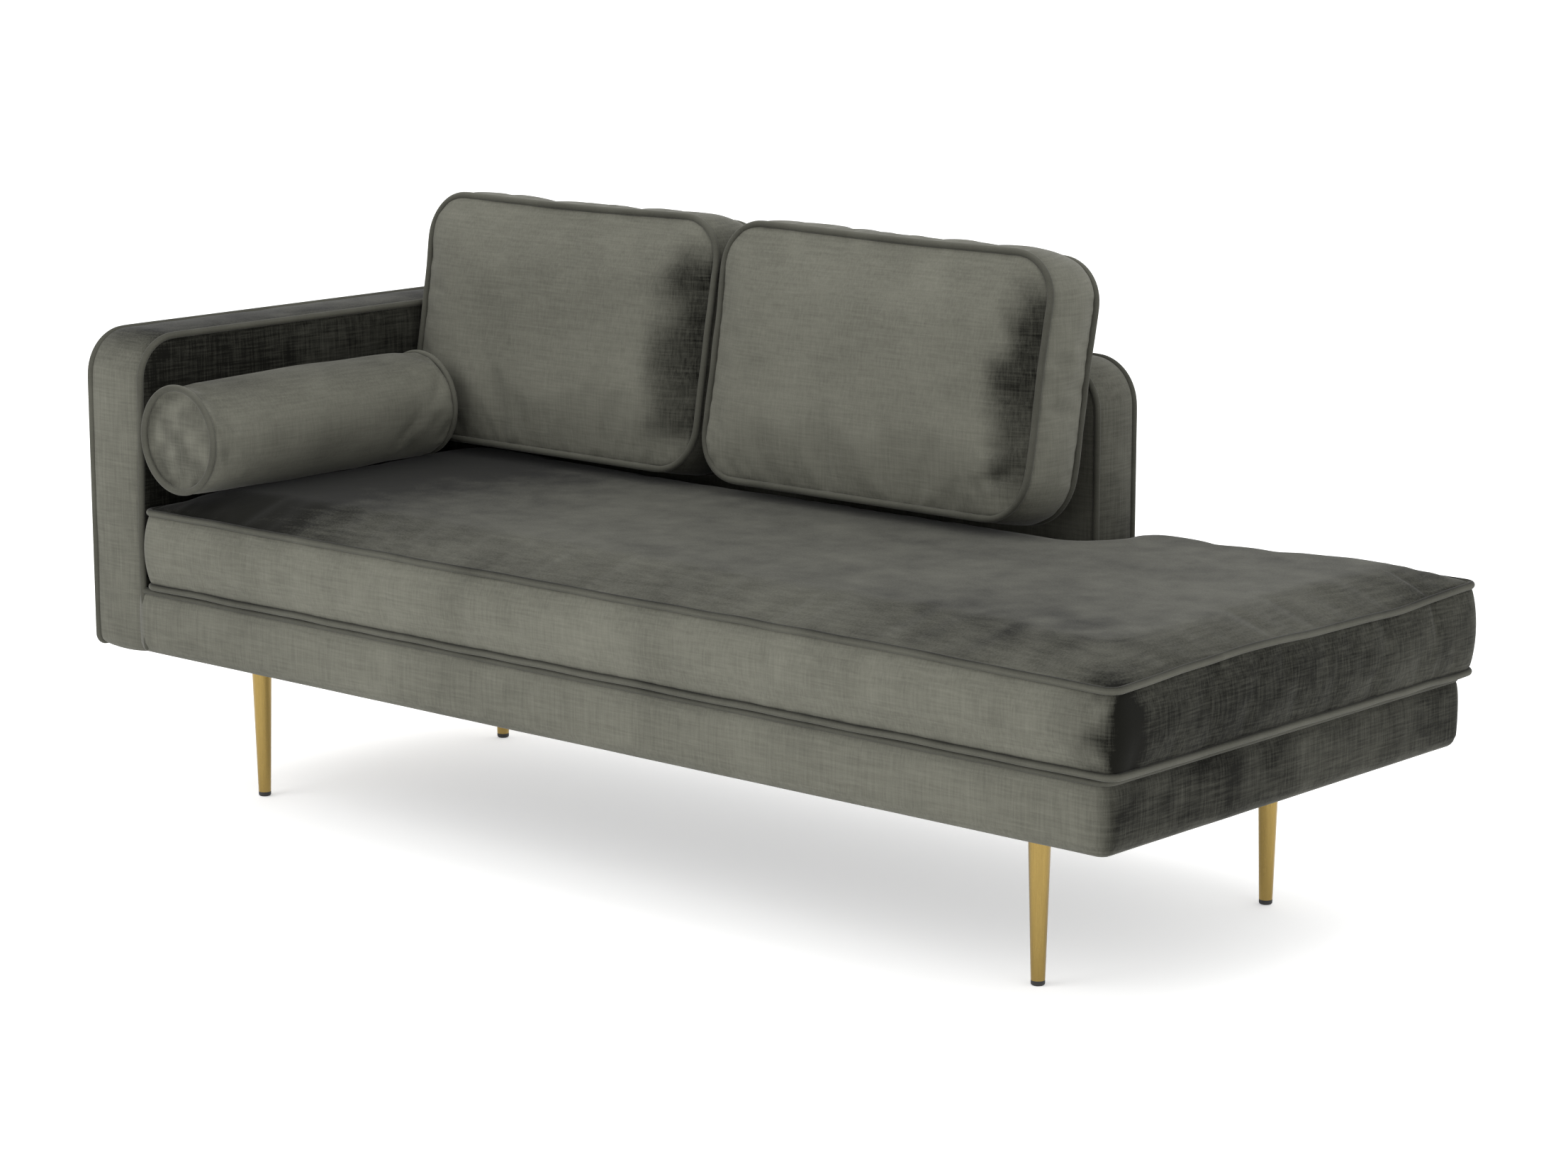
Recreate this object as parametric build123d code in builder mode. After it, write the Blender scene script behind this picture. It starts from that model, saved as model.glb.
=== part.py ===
"""Chaise daybed: one arm, a part-length back, a loose seat cushion, two back cushions, a bolster.

Frame: origin on the floor under the middle of the object's plan, +X from the arm to the open
foot end, +Y from the front to the back, +Z up. All lengths are in millimetres.
"""

from build123d import *
from math import radians, sin
import os

os.makedirs("parts", exist_ok=True)

# ---------------------------------------------------------------- driving dimensions
OVERALL_LENGTH = 1632.0
OVERALL_DEPTH = 692.0
LEG_HEIGHT = 197.5
BASE_HEIGHT = 87.5
ARM_TOP_Z = 605.0
ARM_THICKNESS = 104.0
BACK_THICKNESS = 80.0
BACK_LENGTH = 1046.0
SHELL_CORNER_RADIUS = 58.0  # free top corners of the arm and the back
EDGE_RADIUS = 15.0  # soft lower and rear edges of the upholstery
BASE_CORNER_RADIUS = 20.0  # upright corners at the foot end

SEAT_OVERHANG_FRONT = 5.0
SEAT_OVERHANG_REAR = 7.0
SEAT_OVERHANG_FOOT = 12.0
SEAT_EDGE_HEIGHT = 102.0  # over both pipings
SEAT_CROWN = 25.0  # rise of the top above its piping
SEAT_CROWN_RUN = 75.0  # distance from the edge to the flat middle
SEAT_CORNER_RADIUS = 18.0
SEAT_ARM_CLEARANCE = 3.0
SEAT_BACK_CLEARANCE = 5.0

BACK_CUSHION_THICKNESS = 96.0
BACK_CUSHION_HEIGHT = 328.0
BACK_CUSHION_LEAN = 10.0  # degrees by which each back cushion leans against the back
BACK_CUSHION_LEFT_WIDTH = 523.0
BACK_CUSHION_RIGHT_WIDTH = 526.0
BACK_CUSHION_GAP = 2.0
BACK_CUSHION_ARM_CLEARANCE = 6.0
BACK_CUSHION_CORNER_RADIUS = 62.0

BOLSTER_RADIUS = 69.0
BOLSTER_LENGTH = 420.0
BOLSTER_ARM_CLEARANCE = 2.0
BOLSTER_SETBACK = 2.0  # its front end stands this far behind the seat cushion's front

LEG_TOP_RADIUS = 13.5
LEG_FOOT_RADIUS = 8.0
LEG_WALL = 1.5  # at the open foot
LEG_TOP_WALL = 2.25
LEG_FROM_ARM_SIDE = 166.0
LEG_FROM_FOOT_END = 190.0
LEG_FROM_FRONT = 135.0
LEG_FROM_REAR = 113.0

# ---------------------------------------------------------------- layers, stock and fixings
CLOTH_OUT = 1.0  # depth of the cloth's outer face below the outermost line of the piping
CLOTH_IN = 3.0
PAD_IN = 12.0  # depth of the timber below the same line, round the edges
PAD_SIDE_IN = 10.0  # the same at the flat sides of the arm and the back
BOARD = 4.0
PIPING_RADIUS = 4.0
PIPING_CHANNEL = 8.0
CUSHION_PIPING_RADIUS = 3.5
CUSHION_SKIN = 2.0
SEAM_BEVEL = 9.5  # room that a cushion's cover leaves for its piping
NOTCH_RADIUS = 6.0
GAP = 0.5  # clearance between loose pieces
FELT_DEPTH = 4.0  # of the felt's top face below the top of the base's piping
DECK_DEPTH = 2.0  # of the deck cloth's top face below the same line
DUST_COVER_THICKNESS = 1.0
HEM_WIDTH = 36.0  # width of the base cover's hem, turned in under the frame

RAIL_THICKNESS = 22.0
RAIL_CORNER_RADIUS = BASE_CORNER_RADIUS - PAD_IN
POST_WIDTH = 38.0
ARM_LOWER_RAIL_HEIGHT = 55.0
CENTRE_RAIL_HEIGHT = 50.0
LEG_BOARD_WIDTH = 76.0
LEG_BOARD_THICKNESS = 27.0
CORNER_BLOCK_SIZE = 40.0
CORNER_BLOCK_RISE = 3.0
BACK_BLOCK_WIDTH = 50.0
BACK_BLOCK_DEPTH = 32.0
BACK_BLOCK_HEIGHT = 38.0

BOLT_RADIUS = 4.0
BOLT_HOLE_RADIUS = 4.2
BOLT_HEAD_RADIUS = 8.0
BOLT_HEAD_HEIGHT = 5.0
ARM_BOLT_LENGTH = 62.0
ARM_BOLT_RISE = 38.5  # height of the arm's bolts above the base's bottom
ARM_BOLT_FROM_EDGE = 110.0
BACK_BOLT_REACH = 36.0  # length of a back bolt inside the back's lower rail
PLATE_SIZE = 68.0
PLATE_THICKNESS = 2.5
BOSS_RADIUS = 8.0
BOSS_HEIGHT = 12.0
BOSS_HOLE_RADIUS = 8.5
STUD_RADIUS = 4.0
STUD_LENGTH = 13.0
STUD_BORE_RADIUS = 4.05
SCREW_SPACING = 52.0
SCREW_RADIUS = 2.0
SCREW_HOLE_RADIUS = 2.1
SCREW_HEAD_RADIUS = 4.0
SCREW_HEAD_HEIGHT = 1.5
SCREW_LENGTH = 22.0
GLIDE_HEIGHT = 6.0
GLIDE_STEM = 12.0
GLIDE_ROUND = 2.5
GLIDE_CLEARANCE = 0.1
LEG_CAP = 4.0

SPRING_COUNT = 9
SPRING_RUNS = 16
SPRING_RUN_PITCH = 38.0
SPRING_HALF_WIDTH = 22.0
SPRING_BEND_RADIUS = 16.0
SPRING_WIRE_RADIUS = 1.8
SPRING_DROP = 5.0  # depth of the wire's centre below the rails' tops
CLIP_WIDTH = 16.0
CLIP_DEPTH = 12.0
CLIP_WALL = 1.2

# ---------------------------------------------------------------- planes worked out from them
ARM_OUTER_X = -OVERALL_LENGTH / 2
ARM_INNER_X = ARM_OUTER_X + ARM_THICKNESS
FOOT_X = OVERALL_LENGTH / 2
BASE_END_X = FOOT_X - SEAT_OVERHANG_FOOT
BACK_END_X = ARM_INNER_X + BACK_LENGTH
FRONT_Y = -OVERALL_DEPTH / 2 + SEAT_OVERHANG_FRONT
REAR_Y = OVERALL_DEPTH / 2 - SEAT_OVERHANG_REAR
BACK_FRONT_Y = REAR_Y - BACK_THICKNESS
BASE_MID_Y = (FRONT_Y + REAR_Y) / 2
BASE_BOTTOM_Z = LEG_HEIGHT
BASE_TOP_Z = BASE_BOTTOM_Z + BASE_HEIGHT
BACK_BOTTOM_Z = BASE_TOP_Z + GAP

RAIL_BOTTOM_Z = BASE_BOTTOM_Z + CLOTH_IN + GAP
RAIL_TOP_Z = BASE_TOP_Z - PIPING_CHANNEL
FELT_TOP_Z = BASE_TOP_Z - FELT_DEPTH
DECK_TOP_Z = BASE_TOP_Z - DECK_DEPTH
DUST_COVER_BOTTOM_Z = RAIL_BOTTOM_Z - DUST_COVER_THICKNESS
LEG_BOARD_TOP_Z = RAIL_BOTTOM_Z + LEG_BOARD_THICKNESS
PLATE_BOTTOM_Z = DUST_COVER_BOTTOM_Z - PLATE_THICKNESS

FRAME_LEFT_X = ARM_INNER_X - PAD_SIDE_IN
FRAME_RIGHT_X = BASE_END_X - PAD_IN
FRAME_FRONT_Y = FRONT_Y + PAD_IN
FRAME_REAR_Y = REAR_Y - PAD_IN
INNER_LEFT_X = FRAME_LEFT_X + RAIL_THICKNESS
INNER_RIGHT_X = FRAME_RIGHT_X - RAIL_THICKNESS
INNER_FRONT_Y = FRAME_FRONT_Y + RAIL_THICKNESS
INNER_REAR_Y = FRAME_REAR_Y - RAIL_THICKNESS
INNER_MID_X = (INNER_LEFT_X + INNER_RIGHT_X) / 2
INNER_MID_Y = (INNER_FRONT_Y + INNER_REAR_Y) / 2

SPRING_Z = RAIL_TOP_Z - SPRING_DROP
SPRING_PITCH = (INNER_RIGHT_X - INNER_LEFT_X) / (SPRING_COUNT + 1)
SPRING_FIRST_Y = INNER_MID_Y - (SPRING_RUNS - 1) * SPRING_RUN_PITCH / 2
SPRING_LAST_Y = INNER_MID_Y + (SPRING_RUNS - 1) * SPRING_RUN_PITCH / 2
SPRING_XS = [INNER_LEFT_X + SPRING_PITCH * (i + 1) for i in range(SPRING_COUNT)]

# Bolt centres: the arm's through the end rail, the back's between springs up through the deck.
ARM_BOLT_Z = BASE_BOTTOM_Z + ARM_BOLT_RISE
ARM_BOLT_YS = [FRONT_Y + ARM_BOLT_FROM_EDGE, BASE_MID_Y, REAR_Y - ARM_BOLT_FROM_EDGE]
ARM_BOLT_POINTS = [(bolt_y, ARM_BOLT_Z) for bolt_y in ARM_BOLT_YS]
BACK_BOLT_Y = INNER_REAR_Y - BACK_BLOCK_DEPTH / 2
BACK_BOLT_XS = [INNER_LEFT_X + SPRING_PITCH * (gap + 0.5) for gap in (1, 3, 6)]
BACK_BLOCK_BOTTOM_Z = LEG_BOARD_TOP_Z + BOLT_HEAD_HEIGHT + CORNER_BLOCK_RISE

LEG_LEFT_X = ARM_OUTER_X + LEG_FROM_ARM_SIDE
LEG_RIGHT_X = BASE_END_X - LEG_FROM_FOOT_END
LEG_FRONT_Y = FRONT_Y + LEG_FROM_FRONT
LEG_REAR_Y = REAR_Y - LEG_FROM_REAR
LEG_POINTS = [(x, y) for x in (LEG_LEFT_X, LEG_RIGHT_X) for y in (LEG_FRONT_Y, LEG_REAR_Y)]

SEAT_LEFT_X = ARM_INNER_X + SEAT_ARM_CLEARANCE
SEAT_FRONT_Y = -OVERALL_DEPTH / 2
SEAT_REAR_Y = OVERALL_DEPTH / 2
NOTCH_X = BACK_END_X + SEAT_BACK_CLEARANCE
NOTCH_Y = BACK_FRONT_Y - SEAT_BACK_CLEARANCE
SEAT_BOTTOM_Z = BASE_TOP_Z + GAP
SEAT_EDGE_TOP_Z = SEAT_BOTTOM_Z + SEAT_EDGE_HEIGHT
SEAT_TOP_Z = SEAT_EDGE_TOP_Z + SEAT_CROWN

BACK_CUSHION_FOOTING = BACK_CUSHION_HEIGHT * sin(radians(BACK_CUSHION_LEAN))
BACK_CUSHION_REAR_Y = BACK_FRONT_Y - GAP * 2 - BACK_CUSHION_FOOTING
BACK_CUSHION_FRONT_Y = BACK_CUSHION_REAR_Y - BACK_CUSHION_THICKNESS
BACK_CUSHION_BOTTOM_Z = SEAT_TOP_Z + GAP
BACK_CUSHION_LEFT_X = ARM_INNER_X + BACK_CUSHION_ARM_CLEARANCE
BACK_CUSHION_RIGHT_X = BACK_CUSHION_LEFT_X + BACK_CUSHION_LEFT_WIDTH + BACK_CUSHION_GAP

BOLSTER_X = ARM_INNER_X + BOLSTER_ARM_CLEARANCE + BOLSTER_RADIUS
BOLSTER_Z = SEAT_TOP_Z + GAP + BOLSTER_RADIUS
BOLSTER_FRONT_Y = SEAT_FRONT_Y + BOLSTER_SETBACK
BOLSTER_REAR_Y = BOLSTER_FRONT_Y + BOLSTER_LENGTH

# Depths of the layers across the arm, from its outer face, and across the back, from its front.
ARM_FRAME_LOW = PAD_SIDE_IN + BOARD
ARM_FRAME_HIGH = ARM_THICKNESS - ARM_FRAME_LOW
BACK_FRAME_LOW = PAD_SIDE_IN + BOARD
BACK_FRAME_HIGH = BACK_THICKNESS - BACK_FRAME_LOW


# ---------------------------------------------------------------- shared outlines
def slab(low, high):
    """Plain block between two opposite corners, to be added to or cut from a piece."""
    size = [b - a for a, b in zip(low, high)]
    middle = [(a + b) / 2 for a, b in zip(low, high)]
    return Pos(*middle) * Box(*size, mode=Mode.PRIVATE)


def plate(plane, points, radii, thickness):
    """Plate whose outline has its own radius at each corner, raised from a plane."""
    with BuildPart() as raised:
        with BuildSketch(plane):
            with BuildLine():
                FilletPolyline(*points, radius=radii, close=True)
            make_face()
        extrude(amount=thickness)
    return raised.part


def base_core(inset, low, high):
    """Plan of the seat base, its free sides moved in by inset, between two heights."""
    right = BASE_END_X - inset
    front = FRONT_Y + inset
    rear = REAR_Y - inset
    points = [(ARM_INNER_X, front), (right, front), (right, rear), (ARM_INNER_X, rear)]
    corner = BASE_CORNER_RADIUS - inset
    return plate(Plane.XY.offset(low), points, [0, corner, corner, 0], high - low)


def base_block(inset):
    """Seat base with soft lower edges, its sides and bottom moved in, as high as its covers."""
    with BuildPart() as block:
        add(base_core(inset, BASE_BOTTOM_Z + inset, RAIL_TOP_Z))
        under = block.faces().sort_by(Axis.Z)[0].edges()
        fillet(under.sort_by(Axis.X)[1:], EDGE_RADIUS - inset)
    return block.part


def arm_corners(inset):
    """Corners of the arm's side outline and their radii, the free top one first."""
    front = FRONT_Y + inset
    rear = REAR_Y - inset
    low = BASE_BOTTOM_Z + inset
    high = ARM_TOP_Z - inset
    points = [(front, high), (rear, high), (rear, low), (front, low)]
    soft = EDGE_RADIUS - inset
    return points, [SHELL_CORNER_RADIUS - inset, soft, soft, soft]


def arm_block(inset, low, high):
    """Side outline of the arm, moved in by inset, from low to high across its thickness."""
    points, radii = arm_corners(inset)
    return plate(Plane.YZ.offset(ARM_OUTER_X + low), points, radii, high - low)


def back_block(inset, low, high):
    """Front outline of the back, its top and free end moved in, from low to high front to rear."""
    right = BACK_END_X - inset
    top = ARM_TOP_Z - inset
    points = [(ARM_INNER_X, BACK_BOTTOM_Z), (right, BACK_BOTTOM_Z), (right, top), (ARM_INNER_X, top)]
    radii = [0, 0, SHELL_CORNER_RADIUS - inset, 0]
    return plate(Plane.XZ.offset(-BACK_FRONT_Y - high), points, radii, high - low)


def seat_corners(inset):
    """Plan corners of the seat cushion, which is cut away round the back, and their radii."""
    left = SEAT_LEFT_X + inset
    right = FOOT_X - inset
    front = SEAT_FRONT_Y + inset
    rear = SEAT_REAR_Y - inset
    notch_x = NOTCH_X + inset
    notch_y = NOTCH_Y - inset
    points = [
        (left, front),
        (right, front),
        (right, rear),
        (notch_x, rear),
        (notch_x, notch_y),
        (left, notch_y),
    ]
    outward = SEAT_CORNER_RADIUS - inset
    return points, [outward, outward, outward, outward, NOTCH_RADIUS + inset, outward]


def seat_block(inset):
    """Body of the seat cushion inside its pipings, with the crown of its top."""
    points, radii = seat_corners(inset)
    low = SEAT_BOTTOM_Z + inset
    high = SEAT_EDGE_TOP_Z - inset
    top = SEAT_TOP_Z - inset
    with BuildPart() as block:
        add(plate(Plane.XY.offset(low), points, radii, high - low))
        by_height = block.faces().sort_by(Axis.Z)
        chamfer(by_height[0].edges() + by_height[-1].edges(), SEAM_BEVEL)
        for west, north in ((SEAT_LEFT_X, NOTCH_Y), (NOTCH_X, SEAT_REAR_Y)):
            middle = ((west + FOOT_X) / 2, (SEAT_FRONT_Y + north) / 2)
            edge_margin = inset + SEAM_BEVEL + CLOTH_OUT
            for margin, height in ((edge_margin, high - CLOTH_OUT), (SEAT_CROWN_RUN, top)):
                with BuildSketch(Plane.XY.offset(height)):
                    with Locations(middle):
                        Rectangle(FOOT_X - west - 2 * margin, north - SEAT_FRONT_Y - 2 * margin)
            loft(ruled=True)
    return block.part


def back_cushion_block(left, width, inset):
    """Box cushion standing on the seat, with round upright corners and bevelled seams."""
    low = BACK_CUSHION_BOTTOM_Z + inset
    high = BACK_CUSHION_BOTTOM_Z + BACK_CUSHION_HEIGHT - inset
    west = left + inset
    east = left + width - inset
    points = [(west, low), (east, low), (east, high), (west, high)]
    depth = BACK_CUSHION_THICKNESS - 2 * inset
    radius = BACK_CUSHION_CORNER_RADIUS - inset
    with BuildPart() as block:
        add(plate(Plane.XZ.offset(inset - BACK_CUSHION_REAR_Y), points, radius, depth))
        by_depth = block.faces().sort_by(Axis.Y)
        chamfer(by_depth[0].edges() + by_depth[-1].edges(), SEAM_BEVEL)
    return block.part


def leaned(body):
    """Body of a back cushion, tipped back about the rear edge of its underside."""
    edge = Axis((0, BACK_CUSHION_REAR_Y, BACK_CUSHION_BOTTOM_Z), (1, 0, 0))
    return body.rotate(edge, -BACK_CUSHION_LEAN)


def bolster_block(inset):
    """Round bolster body lying front to rear, with bevelled end seams."""
    with BuildPart() as block:
        with BuildSketch(Plane.XZ.offset(inset - BOLSTER_REAR_Y)):
            with Locations((BOLSTER_X, BOLSTER_Z)):
                Circle(BOLSTER_RADIUS - inset)
        extrude(amount=BOLSTER_LENGTH - 2 * inset)
        chamfer(block.edges().filter_by(GeomType.CIRCLE), SEAM_BEVEL)
    return block.part


def closed_cord(plane, points, radii, cord_radius):
    """Piping round a closed seam: a circle carried along an outline with rounded corners."""
    with BuildPart() as cord:
        with BuildLine(plane) as seam:
            FilletPolyline(*points, radius=radii, close=True)
        start = seam.line @ 0
        with BuildSketch(Plane(origin=start, z_dir=seam.line % 0)):
            Circle(cord_radius)
        sweep(path=seam.line)
    return cord.part


def open_cord(plane, points, radii, cord_radius):
    """Piping along a seam with two ends."""
    with BuildPart() as cord:
        with BuildLine(plane) as seam:
            FilletPolyline(*points, radius=radii)
        start = seam.line @ 0
        with BuildSketch(Plane(origin=start, z_dir=seam.line % 0)):
            Circle(cord_radius)
        sweep(path=seam.line)
    return cord.part


# ---------------------------------------------------------------- seat base: timber
with BuildPart() as base_front_rail:
    add(slab((FRAME_LEFT_X, FRAME_FRONT_Y, RAIL_BOTTOM_Z), (FRAME_RIGHT_X, INNER_FRONT_Y, RAIL_TOP_Z)))
    foot_end = base_front_rail.edges().filter_by(Axis.Z).group_by(Axis.X)[-1]
    fillet(foot_end.sort_by(Axis.Y)[0], RAIL_CORNER_RADIUS)
base_front_rail.part.label = "base_front_rail"
export_step(base_front_rail.part, "parts/base_front_rail.step")

with BuildPart() as base_rear_rail:
    add(slab((FRAME_LEFT_X, INNER_REAR_Y, RAIL_BOTTOM_Z), (FRAME_RIGHT_X, FRAME_REAR_Y, RAIL_TOP_Z)))
    foot_end = base_rear_rail.edges().filter_by(Axis.Z).group_by(Axis.X)[-1]
    fillet(foot_end.sort_by(Axis.Y)[-1], RAIL_CORNER_RADIUS)
base_rear_rail.part.label = "base_rear_rail"
export_step(base_rear_rail.part, "parts/base_rear_rail.step")

with BuildPart() as base_arm_end_rail:
    add(slab((FRAME_LEFT_X, INNER_FRONT_Y, RAIL_BOTTOM_Z), (INNER_LEFT_X, INNER_REAR_Y, RAIL_TOP_Z)))
    with BuildSketch(Plane.YZ.offset(FRAME_LEFT_X)):
        with Locations(*ARM_BOLT_POINTS):
            Circle(BOLT_HOLE_RADIUS)
    extrude(amount=RAIL_THICKNESS, mode=Mode.SUBTRACT)
base_arm_end_rail.part.label = "base_arm_end_rail"
export_step(base_arm_end_rail.part, "parts/base_arm_end_rail.step")

with BuildPart() as base_foot_end_rail:
    add(slab((INNER_RIGHT_X, INNER_FRONT_Y, RAIL_BOTTOM_Z), (FRAME_RIGHT_X, INNER_REAR_Y, RAIL_TOP_Z)))
base_foot_end_rail.part.label = "base_foot_end_rail"
export_step(base_foot_end_rail.part, "parts/base_foot_end_rail.step")

with BuildPart() as base_centre_rail:
    centre_low = (INNER_MID_X - RAIL_THICKNESS / 2, INNER_FRONT_Y, RAIL_BOTTOM_Z)
    centre_high = (INNER_MID_X + RAIL_THICKNESS / 2, INNER_REAR_Y, RAIL_BOTTOM_Z + CENTRE_RAIL_HEIGHT)
    add(slab(centre_low, centre_high))
base_centre_rail.part.label = "base_centre_rail"
export_step(base_centre_rail.part, "parts/base_centre_rail.step")

# Two flat boards that the legs are screwed to, one near each end.
with BuildPart() as leg_boards:
    for middle_x in (LEG_LEFT_X, LEG_RIGHT_X):
        board_low = (middle_x - LEG_BOARD_WIDTH / 2, INNER_FRONT_Y, RAIL_BOTTOM_Z)
        board_high = (middle_x + LEG_BOARD_WIDTH / 2, INNER_REAR_Y, LEG_BOARD_TOP_Z)
        add(slab(board_low, board_high))
    with BuildSketch(Plane.XY.offset(RAIL_BOTTOM_Z)):
        with Locations(*LEG_POINTS):
            Circle(BOSS_HOLE_RADIUS)
            with GridLocations(SCREW_SPACING, SCREW_SPACING, 2, 2):
                Circle(SCREW_HOLE_RADIUS)
    extrude(amount=LEG_BOARD_THICKNESS, mode=Mode.SUBTRACT)
leg_boards.part.label = "leg_boards"
export_step(leg_boards.part, "parts/leg_boards.step")

# Three-cornered blocks in the frame's corners, and square ones that the back is bolted to.
with BuildPart() as glue_blocks:
    with BuildSketch(Plane.XY.offset(LEG_BOARD_TOP_Z + CORNER_BLOCK_RISE)):
        for corner_x, toward_x in ((INNER_LEFT_X, 1), (INNER_RIGHT_X, -1)):
            for corner_y, toward_y in ((INNER_FRONT_Y, 1), (INNER_REAR_Y, -1)):
                with BuildLine():
                    Polyline(
                        (corner_x, corner_y),
                        (corner_x + toward_x * CORNER_BLOCK_SIZE, corner_y),
                        (corner_x, corner_y + toward_y * CORNER_BLOCK_SIZE),
                        close=True,
                    )
                make_face()
    extrude(amount=SPRING_Z - CLIP_DEPTH - LEG_BOARD_TOP_Z - CORNER_BLOCK_RISE)
    with BuildSketch(Plane.XY.offset(BACK_BLOCK_BOTTOM_Z)):
        with Locations(*[(bolt_x, BACK_BOLT_Y) for bolt_x in BACK_BOLT_XS]):
            Rectangle(BACK_BLOCK_WIDTH, BACK_BLOCK_DEPTH)
            Circle(BOLT_HOLE_RADIUS, mode=Mode.SUBTRACT)
    extrude(amount=BACK_BLOCK_HEIGHT)
glue_blocks.part.label = "glue_blocks"
export_step(glue_blocks.part, "parts/glue_blocks.step")

# ---------------------------------------------------------------- seat base: springs and deck
# One zigzag wire runs from the front rail to the rear rail, and is repeated along the seat.
spring_points = []
for run in range(SPRING_RUNS):
    run_y = SPRING_FIRST_Y + run * SPRING_RUN_PITCH
    start_x = -SPRING_HALF_WIDTH if run % 2 == 0 else SPRING_HALF_WIDTH
    spring_points += [(start_x, run_y), (-start_x, run_y)]
one_spring = open_cord(Plane.XY.offset(SPRING_Z), spring_points, SPRING_BEND_RADIUS, SPRING_WIRE_RADIUS)
with BuildPart() as seat_springs:
    with Locations(*[(spring_x, 0) for spring_x in SPRING_XS]):
        add(one_spring)
seat_springs.part.label = "seat_springs"
export_step(seat_springs.part, "parts/seat_springs.step")

# Each spring end lies in an open steel eye whose plate is nailed to the rail's inner face.
with BuildPart() as spring_clips:
    for face_y, end_y in ((INNER_FRONT_Y, SPRING_FIRST_Y), (INNER_REAR_Y, SPRING_LAST_Y)):
        inward = 1 if end_y > face_y else -1
        eye_outer = SPRING_WIRE_RADIUS + GAP / 2 + CLIP_WALL
        for spring_x in SPRING_XS:
            with BuildSketch(Plane.YZ.offset(spring_x - CLIP_WIDTH / 2)):
                with Locations((face_y + inward * CLIP_WALL / 2, SPRING_Z - CLIP_DEPTH / 2)):
                    Rectangle(CLIP_WALL, CLIP_DEPTH)
                with Locations(((face_y + end_y) / 2, SPRING_Z - eye_outer + CLIP_WALL / 2)):
                    Rectangle(abs(end_y - face_y), CLIP_WALL)
                with Locations((end_y, SPRING_Z)):
                    Circle(eye_outer)
                    Circle(eye_outer - CLIP_WALL, mode=Mode.SUBTRACT)
                with Locations((end_y - inward * eye_outer / 2, SPRING_Z + eye_outer / 2)):
                    Rectangle(eye_outer, eye_outer, mode=Mode.SUBTRACT)
            extrude(amount=CLIP_WIDTH)
spring_clips.part.label = "spring_clips"
export_step(spring_clips.part, "parts/spring_clips.step")

# Felt over the springs and a cloth over the felt, both pierced by the back's bolts.
for name, inset, low, high in (
    ("deck_felt", PAD_IN, RAIL_TOP_Z, FELT_TOP_Z),
    ("deck_cloth", PIPING_CHANNEL + GAP, FELT_TOP_Z, DECK_TOP_Z),
):
    with BuildPart() as deck:
        add(base_core(inset, low, high))
        with BuildSketch(Plane.XY.offset(low)):
            with Locations(*[(bolt_x, BACK_BOLT_Y) for bolt_x in BACK_BOLT_XS]):
                Circle(BOLT_HOLE_RADIUS)
        extrude(amount=high - low, mode=Mode.SUBTRACT)
    deck.part.label = name
    export_step(deck.part, f"parts/{name}.step")

# ---------------------------------------------------------------- seat base: upholstery
with BuildPart() as base_padding:
    add(base_block(CLOTH_IN))
    add(base_core(PAD_IN, BASE_BOTTOM_Z, BASE_TOP_Z), mode=Mode.SUBTRACT)
base_padding.part.label = "base_padding"
export_step(base_padding.part, "parts/base_padding.step")

with BuildPart() as base_cover:
    add(base_block(CLOTH_OUT))
    add(base_block(CLOTH_IN), mode=Mode.SUBTRACT)
    add(base_core(HEM_WIDTH / 2, BASE_BOTTOM_Z, BASE_TOP_Z), mode=Mode.SUBTRACT)
base_cover.part.label = "base_cover"
export_step(base_cover.part, "parts/base_cover.step")

with BuildPart() as base_piping:
    add(
        open_cord(
            Plane.XY.offset(BASE_TOP_Z - PIPING_RADIUS),
            [
                (ARM_INNER_X + GAP, FRONT_Y + PIPING_RADIUS),
                (BASE_END_X - PIPING_RADIUS, FRONT_Y + PIPING_RADIUS),
                (BASE_END_X - PIPING_RADIUS, REAR_Y - PIPING_RADIUS),
                (ARM_INNER_X + GAP, REAR_Y - PIPING_RADIUS),
            ],
            BASE_CORNER_RADIUS - PIPING_RADIUS,
            PIPING_RADIUS,
        )
    )
base_piping.part.label = "base_piping"
export_step(base_piping.part, "parts/base_piping.step")

with BuildPart() as dust_cover:
    dust_low = (FRAME_LEFT_X + HEM_WIDTH, FRONT_Y + HEM_WIDTH, DUST_COVER_BOTTOM_Z)
    dust_high = (BASE_END_X - HEM_WIDTH, REAR_Y - HEM_WIDTH, RAIL_BOTTOM_Z)
    add(slab(dust_low, dust_high))
    with BuildSketch(Plane.XY.offset(DUST_COVER_BOTTOM_Z)):
        with Locations(*LEG_POINTS):
            Circle(BOSS_HOLE_RADIUS)
            with GridLocations(SCREW_SPACING, SCREW_SPACING, 2, 2):
                Circle(SCREW_HOLE_RADIUS)
    extrude(amount=RAIL_BOTTOM_Z - DUST_COVER_BOTTOM_Z, mode=Mode.SUBTRACT)
dust_cover.part.label = "dust_cover"
export_step(dust_cover.part, "parts/dust_cover.step")

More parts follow.
